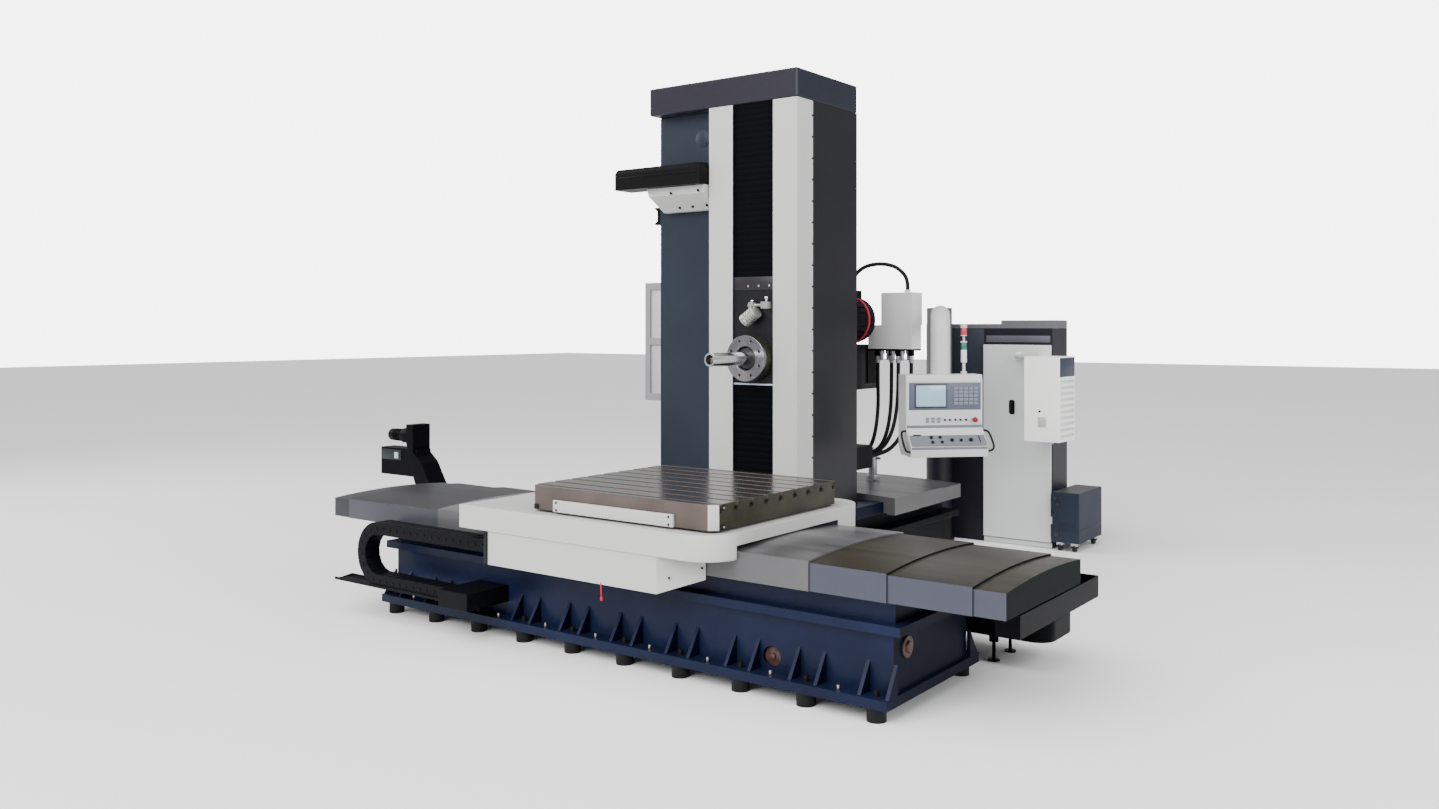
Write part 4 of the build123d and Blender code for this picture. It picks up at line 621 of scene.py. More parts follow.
THIN_EDGE = 0.0008
SLAT_PITCH = 0.045
SLAT_SHARE = 0.985
curtain_black = surface("curtain_black", (0.0016, 0.0018, 0.0028), 0.7, grain=200, relief=0.1, shine=0.03)
slatted("upper_slats", "curtain_upper", SLAT_PITCH)
slatted("lower_slats", "curtain_lower", SLAT_PITCH)

# Headstock and spindle
# A painted cast face plate carries the spindle housing. The housing's nose ring is ground and
# bolted, and the sleeve and the boring bar in it are hardened steel, ground bright. The sleeve
# is coloured dark as painted shade of the recess round the bar. Wipers are screwed along the
# plate's ends, and a work lamp is clamped to it.
head_grey = surface("head_grey", (0.008, 0.008, 0.010), 0.36, drift=0.15, relief=0.25, shine=0.15)
bright_steel = surface("bright_steel", (0.60, 0.59, 0.60), 0.20, metal=1.0, drift=0.08, patch=6, grain=60,
                       relief=0.05, way=(1, 12, 1))
# Dark steel. On the spindle sleeve this dark colour is painted shade of the recess round the bar.
dark_steel_and_sleeve_shade = surface("dark_steel_and_sleeve_shade", (0.050, 0.050, 0.052), 0.35, metal=0.6, drift=0.2, patch=12)
NOSE_BACK = -1.2745
nose_finish = surface("nose_finish", (0.016, 0.016, 0.011), 0.36, drift=0.2, patch=5)
tinted(nose_finish, "Y", NOSE_BACK, (0.24, 0.235, 0.25), 0.22, metal=1.0, drift=0.3, patch=8, by="Object")
repaint(head_grey, "headstock")
repaint(nose_finish, "spindle_housing")
repaint(dark_steel_and_sleeve_shade, "spindle_sleeve")
repaint(bright_steel, "boring_bar")
soften(0.004, "headstock")
soften(0.0015, "spindle_housing")
SPINDLE = placed(0.124, 1.524, 1.893)
BOLT_CIRCLE = 0.135
BOLT_COUNT = 8
BOLT_DEPTH = 0.008
BOLT_RADIUS = 0.0095
bolt_turns = [math.tau * (i + 0.5) / BOLT_COUNT for i in range(BOLT_COUNT)]
nose_bolts = [
    SPINDLE + Vector((BOLT_CIRCLE * math.cos(turn), BOLT_DEPTH, BOLT_CIRCLE * math.sin(turn)))
    for turn in bolt_turns
]
screws("nose_bolts", nose_bolts, FORWARD, BOLT_RADIUS, screw_black, "headstock")
PLATE_FRONT = 1.636 + BED_SHIFT.y
PLATE_BOTTOM = 1.691
STRIP_X = (-0.056 + BED_SHIFT.x, 0.304 + BED_SHIFT.x)
STRIP_RISE = 0.006
STRIP_HEIGHT = 0.014
WIPER_HEIGHT = 0.100
WIPER_SCREW_RADIUS = 0.008
WIPER_SCREW_XS = (0.081, 0.176, 0.270)
WIPER_SCREW_DROP = 0.070
head_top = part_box("headstock")[1].z
strip_front = PLATE_FRONT - STRIP_RISE
wiper_grey = surface("wiper_grey", (0.014, 0.013, 0.018), 0.36, drift=0.1)
wiper = block((STRIP_X[0], strip_front, head_top - WIPER_HEIGHT), (STRIP_X[1], PLATE_FRONT, head_top))
finish(wiper, "upper_wiper", wiper_grey, "headstock")
wiper_screws = [(x + BED_SHIFT.x, strip_front, head_top - WIPER_SCREW_DROP) for x in WIPER_SCREW_XS]
screws("wiper_screws", wiper_screws, FORWARD, WIPER_SCREW_RADIUS, stud_steel, "headstock")
strip_pale = surface("strip_pale", (0.44, 0.50, 0.66), 0.3, metal=0.4, drift=0.05)
strip = block((STRIP_X[0], strip_front, PLATE_BOTTOM + SUNK),
              (STRIP_X[1], PLATE_FRONT, PLATE_BOTTOM + STRIP_HEIGHT))
finish(strip, "lower_wiper", strip_pale, "headstock")
lamp_grey = surface("lamp_grey", (0.38, 0.38, 0.365), 0.28, metal=0.7, drift=0.08, patch=20)
lamp_glass = surface("lamp_glass", (0.62, 0.64, 0.63), 0.08, drift=0.05, relief=0.02, shine=0.6)
repaint(lamp_grey, "work_lamp")
soften(0.002, "work_lamp")
LAMP_TILT = math.radians(35)
LENS = (0.012, 0.020)
LENS_RADIUS = 0.043
lamp_way = Vector((math.cos(LAMP_TILT), 0, math.sin(LAMP_TILT)))
lamp_mouth = placed(0.094, 1.560, 2.169)
lens = stub(lamp_mouth, lamp_way, *LENS, LENS_RADIUS, edge=0.003, sides=48)
finish(lens, "lamp_lens", lamp_glass, "headstock")
clamp_foot = placed(0.263, 1.600, 2.312)
joint_top = placed(0.144, 1.590, 2.311)
CLAMP_PARTS = [
    (clamp_foot, -0.002, 0.022, 0.007, 0.001, 16),
    (clamp_foot, 0.020, 0.038, 0.014, 0.004, 20),
    (joint_top, -0.004, 0.014, 0.012, 0.003, 20),
]
clamps = [
    stub(place, UP, low, high, radius, edge, sides)
    for place, low, high, radius, edge, sides in CLAMP_PARTS
]
finish(joined(clamps), "lamp_clamp", bright_steel, "headstock")

# Drive behind the column
# The black spindle motor is flanged to the back of the headstock, and the light grey junction
# boxes sit on a folded bracket beside it, with the hoses' glands below. A small lubrication
# pump stands on the cover behind the column.
motor_black = surface("motor_black", (0.002, 0.002, 0.003), 0.45, relief=0.2, shine=0.06)
box_grey = surface("box_grey", (0.64, 0.64, 0.65), 0.4, drift=0.03, grain=220, relief=0.08)
fan_red = surface("fan_red", (0.40, 0.012, 0.040), 0.4)
sleeve_grey = surface("sleeve_grey", (0.36, 0.36, 0.38), 0.3, metal=0.5, drift=0.1)
repaint(motor_black, "spindle_motor", "gland_bracket", "hose_terminal")
repaint(box_grey, "junction_box")
MOTOR_MIDDLE = placed(0.124, 2.780, 2.185)
RING_AT = (-0.240, -0.270)
RING_RADIUS = 0.203
ring = stub(MOTOR_MIDDLE, FORWARD, *RING_AT, RING_RADIUS, edge=0.003, sides=64)
finish(ring, "fan_ring", fan_red, "headstock")
SLEEVE = (0.002, -0.060)
sleeves = [
    stub(placed(*start, HOSE_TOP), UP, *SLEEVE, 0.021, edge=0.003, sides=20)
    for start in HOSE_STARTS
]
finish(joined(sleeves), "hose_sleeves", sleeve_grey, "headstock")
box_low, box_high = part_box("junction_box")
GLAND_PLATE = 0.012
BLANKS = [(0.345, 3.215), (0.350, 3.310), (0.445, 3.225), (0.450, 3.315), (0.535, 3.220), (0.540, 3.315)]
BLANK_PARTS = [(0, -0.030, 0.022, 0.002, 6), (-0.028, -0.085, 0.015, 0.003, 20)]
blanks = []
for x, y in BLANKS:
    top = placed(x, y, box_low.z - GLAND_PLATE + SUNK)
    for start, end, radius, edge, sides in BLANK_PARTS:
        blanks.append(stub(top, UP, start, end, radius, edge, sides))
finish(joined(blanks), "blank_glands", sleeve_grey, "headstock")
PUMP_X = 0.099
PUMP_Y = 3.500
PUMP_PARTS = [
    (-0.001, 0.035, 0.060, 0.004, 32),
    (0.034, 0.235, 0.038, 0.006, 32),
    (0.234, 0.275, 0.014, 0.003, 20),
]
SPOUT_Z = 0.180
SPOUT = (0.030, 0.075)
SPOUT_RADIUS = 0.012
pump_foot = Vector((PUMP_X + BED_SHIFT.x, PUMP_Y + BED_SHIFT.y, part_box("z_cover")[1].z))
pump = [stub(pump_foot, UP, low, high, radius, edge, sides) for low, high, radius, edge, sides in PUMP_PARTS]
pump.append(stub(pump_foot + UP * SPOUT_Z, RIGHT, *SPOUT, SPOUT_RADIUS, sides=20))
finish(joined(pump), "lubrication_pump", sleeve_grey, "frame")
LID_INSET = 0.018
LID_THICK = 0.003
LID_TOP = 0.183
lid = block((box_low.x + LID_INSET, box_high.y - SUNK, box_low.z + LID_INSET),
            (box_high.x - LID_INSET, box_high.y + LID_THICK, box_low.z + LID_TOP))
finish(lid, "lower_box_lid", box_grey, "headstock")
soften(0.004, "junction_box", "spindle_motor", "gland_bracket", "hose_terminal")

# Rail, hook and guard
# A black rail on a white folded bracket, a guide hook and a framed guard are screwed to the
# column's left side.
rail_black = surface("rail_black", (0.003, 0.003, 0.0035), 0.4, relief=0.1, shine=0.08)
guard_grey = surface("guard_grey", (0.24, 0.24, 0.25), 0.42, drift=0.04)
pane_white = surface("pane_white", (0.44, 0.435, 0.45), 0.35, drift=0.03)
repaint(rail_black, "tool_rail", "side_hook")
repaint(white_sheet, "tool_rail_bracket")
repaint(guard_grey, "guard_panel")
soften(0.003, "tool_rail", "tool_rail_bracket", "guard_panel", "side_hook")
SLOPE_RUN = 0.185
SLOPE_DROP = 0.200
SLOPE_TOP = (1.500, 3.215)
SLOPE_SCREWS = [(-0.600, 3.165), (-0.600, 3.062), (-0.470, 3.064), (-0.330, 3.170), (-0.330, 3.066)]
SLOPE_SCREW = 0.011
slope_out = Vector((0, -SLOPE_RUN, -SLOPE_DROP)).normalized()
bracket_screws = [
    placed(x, SLOPE_TOP[0] + (SLOPE_TOP[1] - z) * SLOPE_DROP / SLOPE_RUN, z) for x, z in SLOPE_SCREWS
]
screws("bracket_screws", bracket_screws, slope_out, SLOPE_SCREW, screw_black, "frame")
LIP_RISE = 0.004
LIP_INSET = 0.020
LIP_Z = (0.088, 0.100)
END_LIP_DROP = 0.040
rail_low, rail_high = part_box("tool_rail")
lip = block((rail_low.x + LIP_INSET, rail_low.y - LIP_RISE, rail_low.z + LIP_Z[0]),
            (rail_high.x - LIP_INSET, rail_low.y + SUNK, rail_low.z + LIP_Z[1]))
end_lip = block((rail_high.x - SUNK, rail_low.y + LIP_INSET, rail_low.z + LIP_INSET),
                (rail_high.x + LIP_RISE, rail_high.y - LIP_INSET, rail_high.z - END_LIP_DROP))
finish(joined([lip, end_lip]), "rail_lips", rail_black, "frame")
PANE_INSET = 0.056
PANE_Y = (0.014, 0.022)
guard_low, guard_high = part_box("guard_panel")
pane = block((guard_low.x + PANE_INSET, guard_low.y + PANE_Y[0], guard_low.z + PANE_INSET),
             (guard_high.x - PANE_INSET, guard_low.y + PANE_Y[1], guard_high.z - PANE_INSET), 0.001)
finish(pane, "guard_pane", pane_white, "frame")

# Energy chain
# Black plastic links, pinned side by side, carry the saddle's cables. The lower run lies in a
# folded steel tray on the bed's flange.
chain_plastic = surface("chain_plastic", (0.003, 0.003, 0.0045), 0.45, relief=0.1, shine=0.07)
repaint(chain_plastic, "cable_chain", "chain_tray")
soften(0.004, "cable_chain", "chain_tray")
CHAIN_CENTRE = placed(-1.940, 0, 0.474)
CHAIN_MIDDLE = 0.189
LINK_PITCH = 0.075
UPPER_RUN = 1.300
LOWER_RUN = 0.757
PIN_RADIUS = 0.012
bend_run = math.pi * CHAIN_MIDDLE
chain_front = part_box("cable_chain")[0].y
pins = []
for i in range(1, round((UPPER_RUN + bend_run + LOWER_RUN) / LINK_PITCH)):
    along = (i - 0.5) * LINK_PITCH
    bend = min(max(along - UPPER_RUN, 0), bend_run) / CHAIN_MIDDLE
    before = max(UPPER_RUN - along, 0)
    after = max(along - UPPER_RUN - bend_run, 0)
    pins.append((CHAIN_CENTRE.x + before + after - CHAIN_MIDDLE * math.sin(bend), chain_front,
                 CHAIN_CENTRE.z + CHAIN_MIDDLE * math.cos(bend)))
screws("chain_pins", pins, FORWARD, PIN_RADIUS, chain_plastic, "frame", rise=0.25)

# Chip conveyor
# A black sheet trough between the beds, with a rising head at its left end and a geared
# motor that pulls its belt. It stands on screwed feet.
conveyor_black = surface("conveyor_black", (0.0022, 0.0022, 0.0032), 0.42, drift=0.2, relief=0.15, shine=0.04)
box_panel = surface("box_panel", (0.010, 0.014, 0.016), 0.4, drift=0.1)
plate_pale = surface("plate_pale", (0.34, 0.38, 0.40), 0.35, drift=0.08)
repaint(conveyor_black, "chip_conveyor", "conveyor_drive", "conveyor_feet", "belt_tensioner", "chip_chute")
soften(0.004, "chip_conveyor", "conveyor_drive", "belt_tensioner", "chip_chute")
DRIVE_PLATES = [
    ("switch_panel", box_panel, (0.020, 0.014, 0.872), (0.300, 0.021, 0.968)),
    ("blank_plate", plate_pale, (0.205, 0.010, 0.888), (0.262, 0.016, 0.946)),
]
drive_foot = Vector((*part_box("conveyor_drive")[0].xy, 0))
for plate_name, material, low, high in DRIVE_PLATES:
    plate = block(drive_foot + Vector(low), drive_foot + Vector(high))
    finish(plate, plate_name, material, "frame")
GEAR = placed(-3.830, 1.568, 1.105)
FIN_XS = (-0.03, -0.05, -0.07, -0.09, -0.11)
FIN_THICK = 0.006
FIN_RADIUS = 0.058
fins = [stub(GEAR, RIGHT, x, x - FIN_THICK, FIN_RADIUS, edge=0.001, sides=40) for x in FIN_XS]
finish(joined(fins), "motor_fins", conveyor_black, "frame")


# Control cabinet, cooler and chiller
# Powder-coated sheet boxes that stand apart behind the machine. The cabinet's door carries
# its cooler, and a white tube feeds it. The chiller stands on castors.
def tube(name, points, radius, rounding):
    """Bent round tube along a route, closed at its ends."""
    piece = spline_through(name, points)
    piece.data.bevel_depth = radius
    piece.data.bevel_resolution = rounding
    piece.data.use_fill_caps = True
    return piece


# The cabinet body is navy like its upper panel, but is coloured near black: painted shade below the pendant.
cabinet_dark = surface("cabinet_dark", (0.010, 0.009, 0.015), 0.4, drift=0.1, shine=0.2)
panel_blue = surface("panel_blue", (0.022, 0.025, 0.038), 0.4, drift=0.1, patch=0.8)
fascia_blue = surface("fascia_blue", (0.080, 0.083, 0.100), 0.4, drift=0.08)
door_grey = surface("door_grey", (0.56, 0.57, 0.575), 0.42, drift=0.03, relief=0.08)
roof_grey = surface("roof_grey", (0.110, 0.110, 0.118), 0.42, drift=0.04, relief=0.08)
cooler_white = surface("cooler_white", (0.90, 0.90, 0.88), 0.4, drift=0.02, relief=0.06)
cooler_blue = surface("cooler_blue", (0.026, 0.030, 0.055), 0.4, drift=0.06)
chiller_blue_and_side_shade = surface("chiller_blue_and_side_shade", (0.014, 0.020, 0.034), 0.4, drift=0.08)
# Faces that look right are coloured darker and mirror less: painted shade.
tinted(chiller_blue_and_side_shade, "X", FACING, (0.013, 0.018, 0.033), 0.4, shine=0.08)
tinted(chiller_blue_and_side_shade, "Z", FACING, (0.055, 0.055, 0.060), 0.4)
seam_dark = surface("seam_dark", (0.006, 0.008, 0.014), 0.5)
castor_finish = surface("castor_finish", (0.008, 0.008, 0.009), 0.5)
FORK_Z = 0.056
tinted(castor_finish, "Z", FORK_Z, (0.55, 0.55, 0.56), 0.25, metal=0.9, by="Object")
repaint(roof_grey, "cabinet_roof")
repaint(screw_black, "door_handle")
repaint(cabinet_dark, "cabinet")
repaint(door_grey, "cabinet_door")
repaint(cooler_white, "cabinet_cooler")
repaint(chiller_blue_and_side_shade, "chiller")
repaint(castor_finish, "chiller_castors")
soften(0.004, "cabinet", "cabinet_door", "chiller")
soften(0.003, "cabinet_roof")
cabinet_low, cabinet_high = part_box("cabinet")
door_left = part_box("cabinet_door")[0].x
PANEL_THICK = 0.002
PANEL_GAP = 0.004
upper_panel_x = (cabinet_low.x + PANEL_GAP, door_left - PANEL_GAP)
CABINET_PLATES = [
    ("upper_panel", panel_blue, upper_panel_x, PANEL_THICK, (1.350, cabinet_high.z - PANEL_GAP), THIN_EDGE),
    ("door_fascia", fascia_blue, (door_left + 0.020, cabinet_high.x - 0.020), 0.003, (1.975, 2.040), 0.001),
    ("door_plinth", door_grey, (door_left, cabinet_high.x), 0.012, (0.004, 0.052), 0.003),
]
for plate_name, material, (left, right), rise, (bottom, top), edge in CABINET_PLATES:
    plate = block((left, cabinet_low.y - rise, bottom), (right, cabinet_low.y + SUNK, top), edge)
    finish(plate, plate_name, material, "frame")
cooler_low, cooler_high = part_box("cabinet_cooler")
COOLER_EDGE = 0.010
COOLER_PANEL_Z = (1.662, 1.838)
COOLER_PANEL_RISE = 0.003
panel = block((cooler_high.x - SUNK, cooler_low.y + COOLER_EDGE, COOLER_PANEL_Z[0]),
              (cooler_high.x + COOLER_PANEL_RISE, cooler_high.y - COOLER_EDGE, COOLER_PANEL_Z[1]), 0.001)
finish(panel, "cooler_panel", cooler_blue, "door")
LOUVRE = 0.030
LOUVRE_GAP = 0.026
LOUVRE_COUNT = 10
LOUVRE_BOTTOM = 1.100
LOUVRE_INSET = 0.020
LOUVRE_DEPTH = (-0.002, 0.004)
LOUVRE_TILT = math.radians(8)
louvre_low = Vector((cooler_high.x + LOUVRE_DEPTH[0], cooler_low.y + LOUVRE_INSET, LOUVRE_BOTTOM))
louvre_high = (cooler_high.x + LOUVRE_DEPTH[1], cooler_high.y - LOUVRE_INSET, LOUVRE_BOTTOM + LOUVRE)
louvre = block(louvre_low, louvre_high, 0.002)
select(louvre)
bpy.ops.transform.rotate(value=LOUVRE_TILT, orient_axis="Y", center_override=louvre_low)
louvres = copies(settle(louvre), [UP * ((LOUVRE + LOUVRE_GAP) * i) for i in range(1, LOUVRE_COUNT)])
finish(louvres, "cooler_louvres", door_grey, "door")
COOLER_PLATE_X = (1.034 + BED_SHIFT.x, 1.115 + BED_SHIFT.x)
COOLER_PLATE_Z = (1.197, 1.290)
plate = block((COOLER_PLATE_X[0], cooler_low.y - PANEL_THICK, COOLER_PLATE_Z[0]),
              (COOLER_PLATE_X[1], cooler_low.y + SUNK, COOLER_PLATE_Z[1]), THIN_EDGE)
finish(plate, "cooler_plate", pane_white, "door")
SWITCH_X = 1.052
SWITCH_Z = 1.342
SWITCH_RISE = 0.006
SWITCH_RADIUS = 0.011
switch_place = Vector((SWITCH_X + BED_SHIFT.x, cooler_low.y, SWITCH_Z))
switch = stub(switch_place, FORWARD, -SUNK, SWITCH_RISE, SWITCH_RADIUS, sides=20)
finish(switch, "cooler_switch", screw_black, "door")
ELBOW = [(0.690, 5.337, 1.842), (0.690, 5.290, 1.842), (0.700, 5.262, 1.842), (0.740, 5.255, 1.842),
         (0.905, 5.255, 1.842)]
ELBOW_RADIUS = 0.024
COLLAR = (-0.004, 0.014)
COLLAR_RADIUS = 0.038
elbow_route = [placed(*place) for place in ELBOW]
elbow = tube("cooler_elbow", elbow_route, ELBOW_RADIUS, rounding=6)
finish(elbow, "cooler_elbow", pane_white, "door")
collar = stub(elbow_route[0], FORWARD, *COLLAR, COLLAR_RADIUS, edge=0.003)
finish(collar, "elbow_collar", cooler_white, "door")
chiller_low, chiller_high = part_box("chiller")
FITTINGS = [(1.075, 0.500, 0.018), (1.099, 0.438, 0.016), (1.075, 0.338, 0.018), (1.085, 0.160, 0.026)]
NUT_RISE = 0.016
SPIGOT_RISE = 0.040
SPIGOT_SHARE = 0.6
fittings = []
for x, z, radius in FITTINGS:
    foot = Vector((x + BED_SHIFT.x, chiller_low.y + PANEL_THICK, z))
    fittings.append(stub(foot, FORWARD, 0, NUT_RISE, radius, sides=6))
    fittings.append(stub(foot, FORWARD, 0, SPIGOT_RISE, radius * SPIGOT_SHARE, sides=16))
finish(joined(fittings), "chiller_fittings", dark_steel_and_sleeve_shade, "frame")
SEAM_Z = 0.205
SEAM_INSET = 0.012
SLIT = 0.006
seam = block((chiller_high.x - SUNK, chiller_low.y + SEAM_INSET, SEAM_Z),
             (chiller_high.x + SUNK, chiller_high.y - SEAM_INSET, SEAM_Z + SLIT), 0.0004)
finish(seam, "chiller_seam", seam_dark, "frame")
VENT_ZS = (0.200, 0.218, 0.236, 0.254, 0.272)
VENT_X = (0.060, -0.030)
vents = [
    block((chiller_low.x + VENT_X[0], chiller_low.y - SUNK, z),
          (chiller_high.x + VENT_X[1], chiller_low.y + PANEL_THICK, z + SLIT), THIN_EDGE)
    for z in VENT_ZS
]
finish(joined(vents), "chiller_vents", seam_dark, "frame")

# Pendant
# The operator's panel hangs from a white tube that swings on its post. Its housing is folded
# sheet with a sloping shelf for the hand controls, and a handle is bolted to each side. A
# signal lamp stands on its top.
PENDANT_PLACE = (1.762, -0.044, 0)
PENDANT_TURN = math.radians(45)
PENDANT = Matrix.Translation(PENDANT_PLACE) @ Matrix.Rotation(PENDANT_TURN, 4, "Z")


def on_panel(pieces, name, material=None, place=PENDANT):
    """Joins pieces made with the panel's tube as their axis and its front along -Y, and sets
    them on the panel."""
    piece = joined(pieces)
    piece.data.transform(place)
    return finish(piece, name, material, "pendant_arm")


def dyed(piece, material):
    """Piece with its finish, before it is joined to others."""
    piece.data.materials.append(material)
    return piece


POST_SHADE_END = 1.150
HUB_FROM = 2.250
pendant_white = surface("pendant_white", (0.47, 0.47, 0.48), 0.38, drift=0.02, relief=0.06)
post_finish = surface("post_finish", (0.010, 0.009, 0.015), 0.4, drift=0.1, shine=0.2)
# Below POST_SHADE_END the post is coloured near black as painted shade under the pendant; above it, grey.
tinted(post_finish, "Z", POST_SHADE_END, (0.110, 0.110, 0.118), 0.4, by="Object")
arm_finish = surface("arm_finish", (0.47, 0.47, 0.48), 0.38, drift=0.02, relief=0.06)
tinted(arm_finish, "Y", HUB_FROM, (0.110, 0.110, 0.118), 0.4, by="Object")
field_blue = surface("field_blue", (0.078, 0.088, 0.122), 0.4, drift=0.05)
bezel_dark = surface("bezel_dark", (0.030, 0.032, 0.045), 0.4, drift=0.05)
screen_blue = surface("screen_blue", (0.27, 0.40, 0.50), 0.15, drift=0.03, relief=0.02, shine=0.4)
key_grey = surface("key_grey", (0.15, 0.16, 0.20), 0.45, drift=0.08)
shelf_blue = surface("shelf_blue", (0.130, 0.136, 0.155), 0.4, drift=0.05)
stop_red = surface("stop_red", (0.20, 0.010, 0.018), 0.3)
lamp_red = surface("lamp_red", (0.42, 0.03, 0.06), 0.25, shine=0.5)
lamp_green = surface("lamp_green", (0.01, 0.14, 0.12), 0.25, shine=0.5)
lamp_clear = surface("lamp_clear", (0.60, 0.64, 0.66), 0.2, shine=0.5)
repaint(post_finish, "pendant_post")
repaint(arm_finish, "pendant_arm")
repaint(pendant_white, "pendant")
soften(0.004, "pendant")
FRONT = -0.095
FACE_PLATES = [
    ("display_field", field_blue, (-0.283, 0.290), (-0.002, 0.001), (1.489, 1.698), THIN_EDGE),
    ("screen_bezel", bezel_dark, (-0.238, 0.018), (-0.006, 0), (1.504, 1.689), 0.002),
    ("screen", screen_blue, (-0.228, 0.008), (-0.0075, -0.004), (1.516, 1.677), THIN_EDGE),
]
for plate_name, material, (left, right), (near, far), (bottom, top), edge in FACE_PLATES:
    on_panel([block((left, FRONT + near, bottom), (right, FRONT + far, top), edge)], plate_name, material)
KEY = 0.034
KEY_HEIGHT = KEY * 0.66
KEY_GAP = 0.006
KEY_RISE = 0.006
KEY_COUNT = 5
KEYS_START = (0.074, 1.527)
keys = [
    block((x, FRONT - KEY_RISE, z), (x + KEY, FRONT - SUNK, z + KEY_HEIGHT), 0.0015)
    for x in [KEYS_START[0] + (KEY + KEY_GAP) * i for i in range(KEY_COUNT)]
    for z in [KEYS_START[1] + (KEY_HEIGHT + KEY_GAP) * i for i in range(KEY_COUNT)]
]
on_panel(keys, "key_rows", key_grey)
CONTROLS_Z = 1.412
STOP_X = 0.236
STOP_PARTS = [(0, 0.018, 0.014, 0.001, screw_black), (0.016, 0.039, 0.021, 0.007, stop_red)]
BUTTON_XS = (0.000, 0.040, 0.085, 0.125, 0.170)
BUTTON_RISE = 0.017
BUTTON_RADIUS = 0.008
ROCKER_XS = (-0.136, -0.092, -0.048)
ROCKER_OFFSET = 0.011
ROCKER_RISE = 0.007
ROCKER_HALF = (0.013, 0.008)
stop_place = Vector((STOP_X, FRONT, CONTROLS_Z))
controls = [
    dyed(stub(stop_place, FORWARD, low, high, radius, edge), material)
    for low, high, radius, edge, material in STOP_PARTS
]
for x in BUTTON_XS:
    button = stub(Vector((x, FRONT, CONTROLS_Z)), FORWARD, 0, BUTTON_RISE, BUTTON_RADIUS, sides=20)
    controls.append(dyed(button, screw_black))
for x in ROCKER_XS:
    for z in (CONTROLS_Z - ROCKER_OFFSET, CONTROLS_Z + ROCKER_OFFSET):
        rocker = block((x - ROCKER_HALF[0], FRONT - ROCKER_RISE, z - ROCKER_HALF[1]),
                       (x + ROCKER_HALF[0], FRONT, z + ROCKER_HALF[1]), 0.0015)
        controls.append(dyed(rocker, key_grey))
strip_controls = on_panel(controls, "strip_controls")
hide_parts("pendant_controls")
SHELF_PLACE = (0, -0.155, 1.283)
SHELF_RISE = 0.120
SHELF_DEPTH = 0.132
SHELF_LENGTH = 0.178
SHELF_GAP = 0.004
HALF_WIDTH = 0.300
FOLDS = [(FRONT - 0.002, FRONT + 0.001, 1.351, 1.372), (-0.217, -0.214, 1.197, 1.216)]
SHELF_TURN = math.atan2(SHELF_RISE, SHELF_DEPTH)
SHELF = PENDANT @ Matrix.Translation(SHELF_PLACE) @ Matrix.Rotation(SHELF_TURN, 4, "X")
shelf_x = HALF_WIDTH - PANEL_THICK
shelf_y = SHELF_LENGTH / 2 - SHELF_GAP
shelf = block((-shelf_x, -shelf_y, -SUNK), (shelf_x, shelf_y, PANEL_THICK), THIN_EDGE)
on_panel([shelf], "control_shelf", shelf_blue, SHELF)
folds = [
    block((-HALF_WIDTH, near, low), (HALF_WIDTH, far, high), THIN_EDGE) for near, far, low, high in FOLDS
]
on_panel(folds, "shelf_folds", shelf_blue)
SHELF_KNOBS = [
    (-0.130, -0.005, 0.012), (-0.130, -0.054, 0.011), (-0.060, -0.005, 0.011), (-0.055, -0.054, 0.011),
    (0.028, -0.034, 0.014), (0.100, -0.036, 0.011), (0.178, -0.034, 0.015),
]
KNOB_RISE = 0.016
SHELF_BARS = [
    ((0.248, -0.060, 0.001), (0.254, 0.010, 0.006)),
    ((-0.272, 0.048, 0.001), (-0.202, 0.060, 0.004)),
    ((-0.268, 0.016, 0.001), (-0.202, 0.028, 0.004)),
]
knobs = [
    stub(Vector((x, y, 0)), UP, SUNK, KNOB_RISE, radius, edge=0.003, sides=20) for x, y, radius in SHELF_KNOBS
]
knobs += [block(low, high, 0.001) for low, high in SHELF_BARS]
on_panel(knobs, "shelf_knobs", screw_black, SHELF)
HANDLE = [(0.300, -0.090, 1.330), (0.335, -0.096, 1.330), (0.352, -0.120, 1.310), (0.356, -0.190, 1.235),
          (0.350, -0.215, 1.205), (0.335, -0.205, 1.180), (0.300, -0.200, 1.180)]
HANDLE_RADIUS = 0.0085
for side_name, way in (("right", 1), ("left", -1)):
    handle_route = [Vector((x * way, y, z)) for x, y, z in HANDLE]
    handle = tube("handle", handle_route, HANDLE_RADIUS, rounding=4)
    on_panel([handle], f"{side_name}_handle", screw_black)
LAMP_PLACE = Vector((0.190, 0, 0))
LAMP_STACK = [
    (1.757, 1.780, 0.024, pendant_white), (1.779, 1.850, 0.012, pendant_white),
    (1.849, 1.948, 0.023, lamp_clear), (1.947, 2.004, 0.021, lamp_green),
    (2.003, 2.016, 0.025, pendant_white), (2.015, 2.056, 0.008, pendant_white),
    (2.055, 2.062, 0.024, pendant_white), (2.061, 2.118, 0.023, lamp_red),
    (2.117, 2.150, 0.025, pendant_white),
]
stack = [
    dyed(stub(LAMP_PLACE, UP, low, high, radius), material) for low, high, radius, material in LAMP_STACK
]
lamp = on_panel(stack, "stack_light")
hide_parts("signal_lamp")

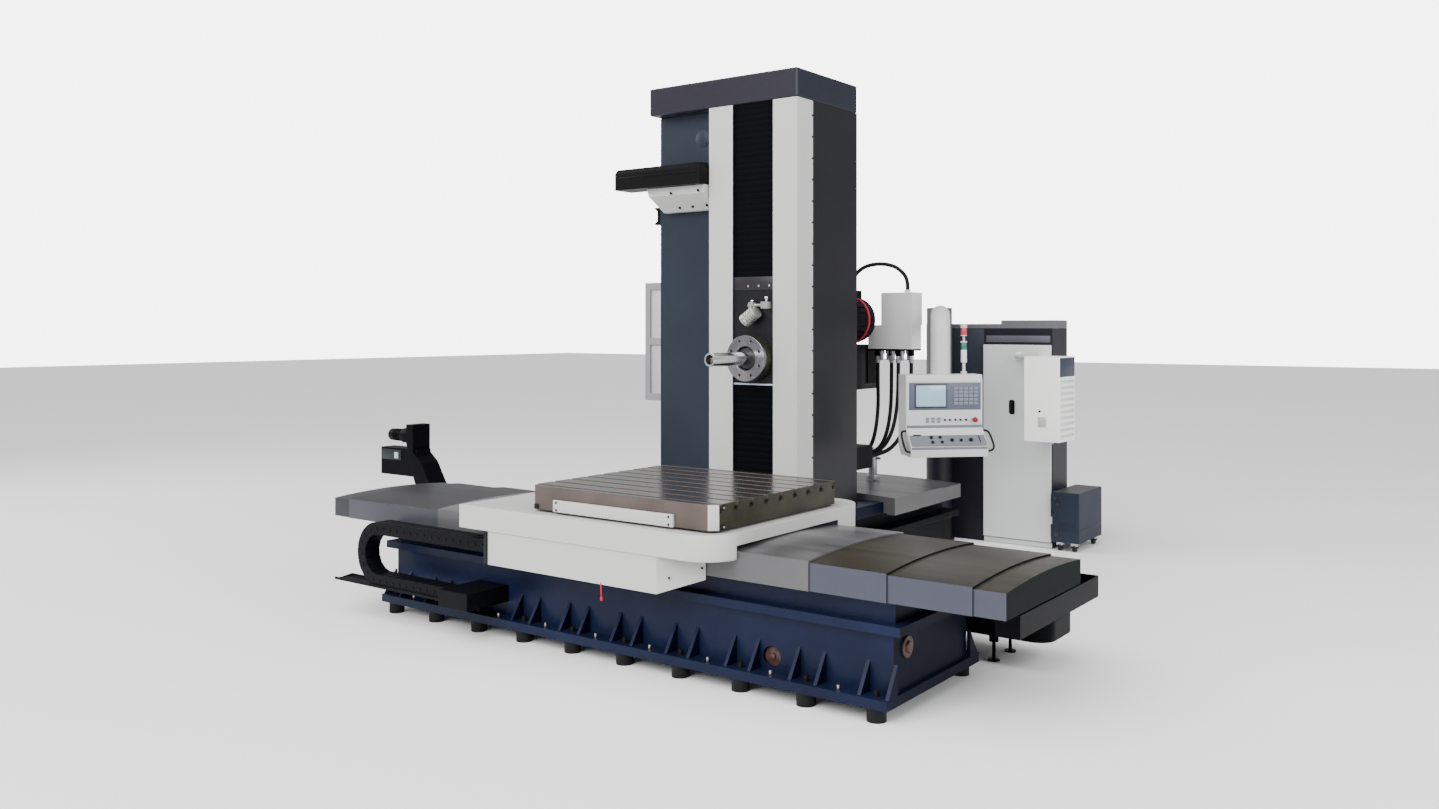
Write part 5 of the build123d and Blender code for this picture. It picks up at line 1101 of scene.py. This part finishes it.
# Floor and light
# A pale floor, a wide even sun from the front, and three large lamps: one over the front and
# one at each side. The sky is brighter to the camera than to the machine.
floor_pale = surface("floor_pale", (0.86, 0.86, 0.86), 0.8, drift=0.01, patch=0.3, relief=0.02)
FLOOR_SIZE = 120
bpy.ops.mesh.primitive_plane_add(size=FLOOR_SIZE, location=(0, 0, 0))
floor = bpy.context.object
floor.name = "floor"
floor.data.materials.append(floor_pale)
LIGHTS = [
    ("key_light", (1.0, -12.0, 7.0), 8.0, 1500),
    ("left_light", (-10.0, -4.0, 7.0), 7.0, 600),
    ("right_light", (11.0, -2.0, 6.0), 6.0, 1000),
]
LIGHT_AIM = Vector((0, 0, 1.2))
for light_name, place, size, power in LIGHTS:
    turn = (LIGHT_AIM - Vector(place)).to_track_quat("-Z", "Y").to_euler()
    bpy.ops.object.light_add(type="AREA", location=place, rotation=turn)
    light = bpy.context.object
    light.name = light_name
    light.data.size = size
    light.data.energy = power
SUN_PLACE = (0, -8, 10)
SUN_WAY = Vector((0.15, 0.75, -1.0))
SUN_SPREAD = math.radians(70)
SUN_POWER = 2.6
bpy.ops.object.light_add(type="SUN", location=SUN_PLACE, rotation=SUN_WAY.to_track_quat("-Z", "Y").to_euler())
even_light = bpy.context.object
even_light.name = "even_light"
even_light.data.energy = SUN_POWER
even_light.data.angle = SUN_SPREAD
SKY_ON_MACHINE = 0.55
SKY_TO_CAMERA = 6.0
world = bpy.data.worlds.new("studio")
world.use_nodes = True
sky = world.node_tree.nodes["Background"]
sky.inputs["Color"].default_value = (1, 1, 1, 1)
seen = world.node_tree.nodes.new("ShaderNodeLightPath")
brightness = world.node_tree.nodes.new("ShaderNodeMapRange")
brightness.inputs["To Min"].default_value = SKY_ON_MACHINE
brightness.inputs["To Max"].default_value = SKY_TO_CAMERA
world.node_tree.links.new(seen.outputs["Is Camera Ray"], brightness.inputs["Value"])
world.node_tree.links.new(brightness.outputs["Result"], sky.inputs["Strength"])
bpy.context.scene.world = world
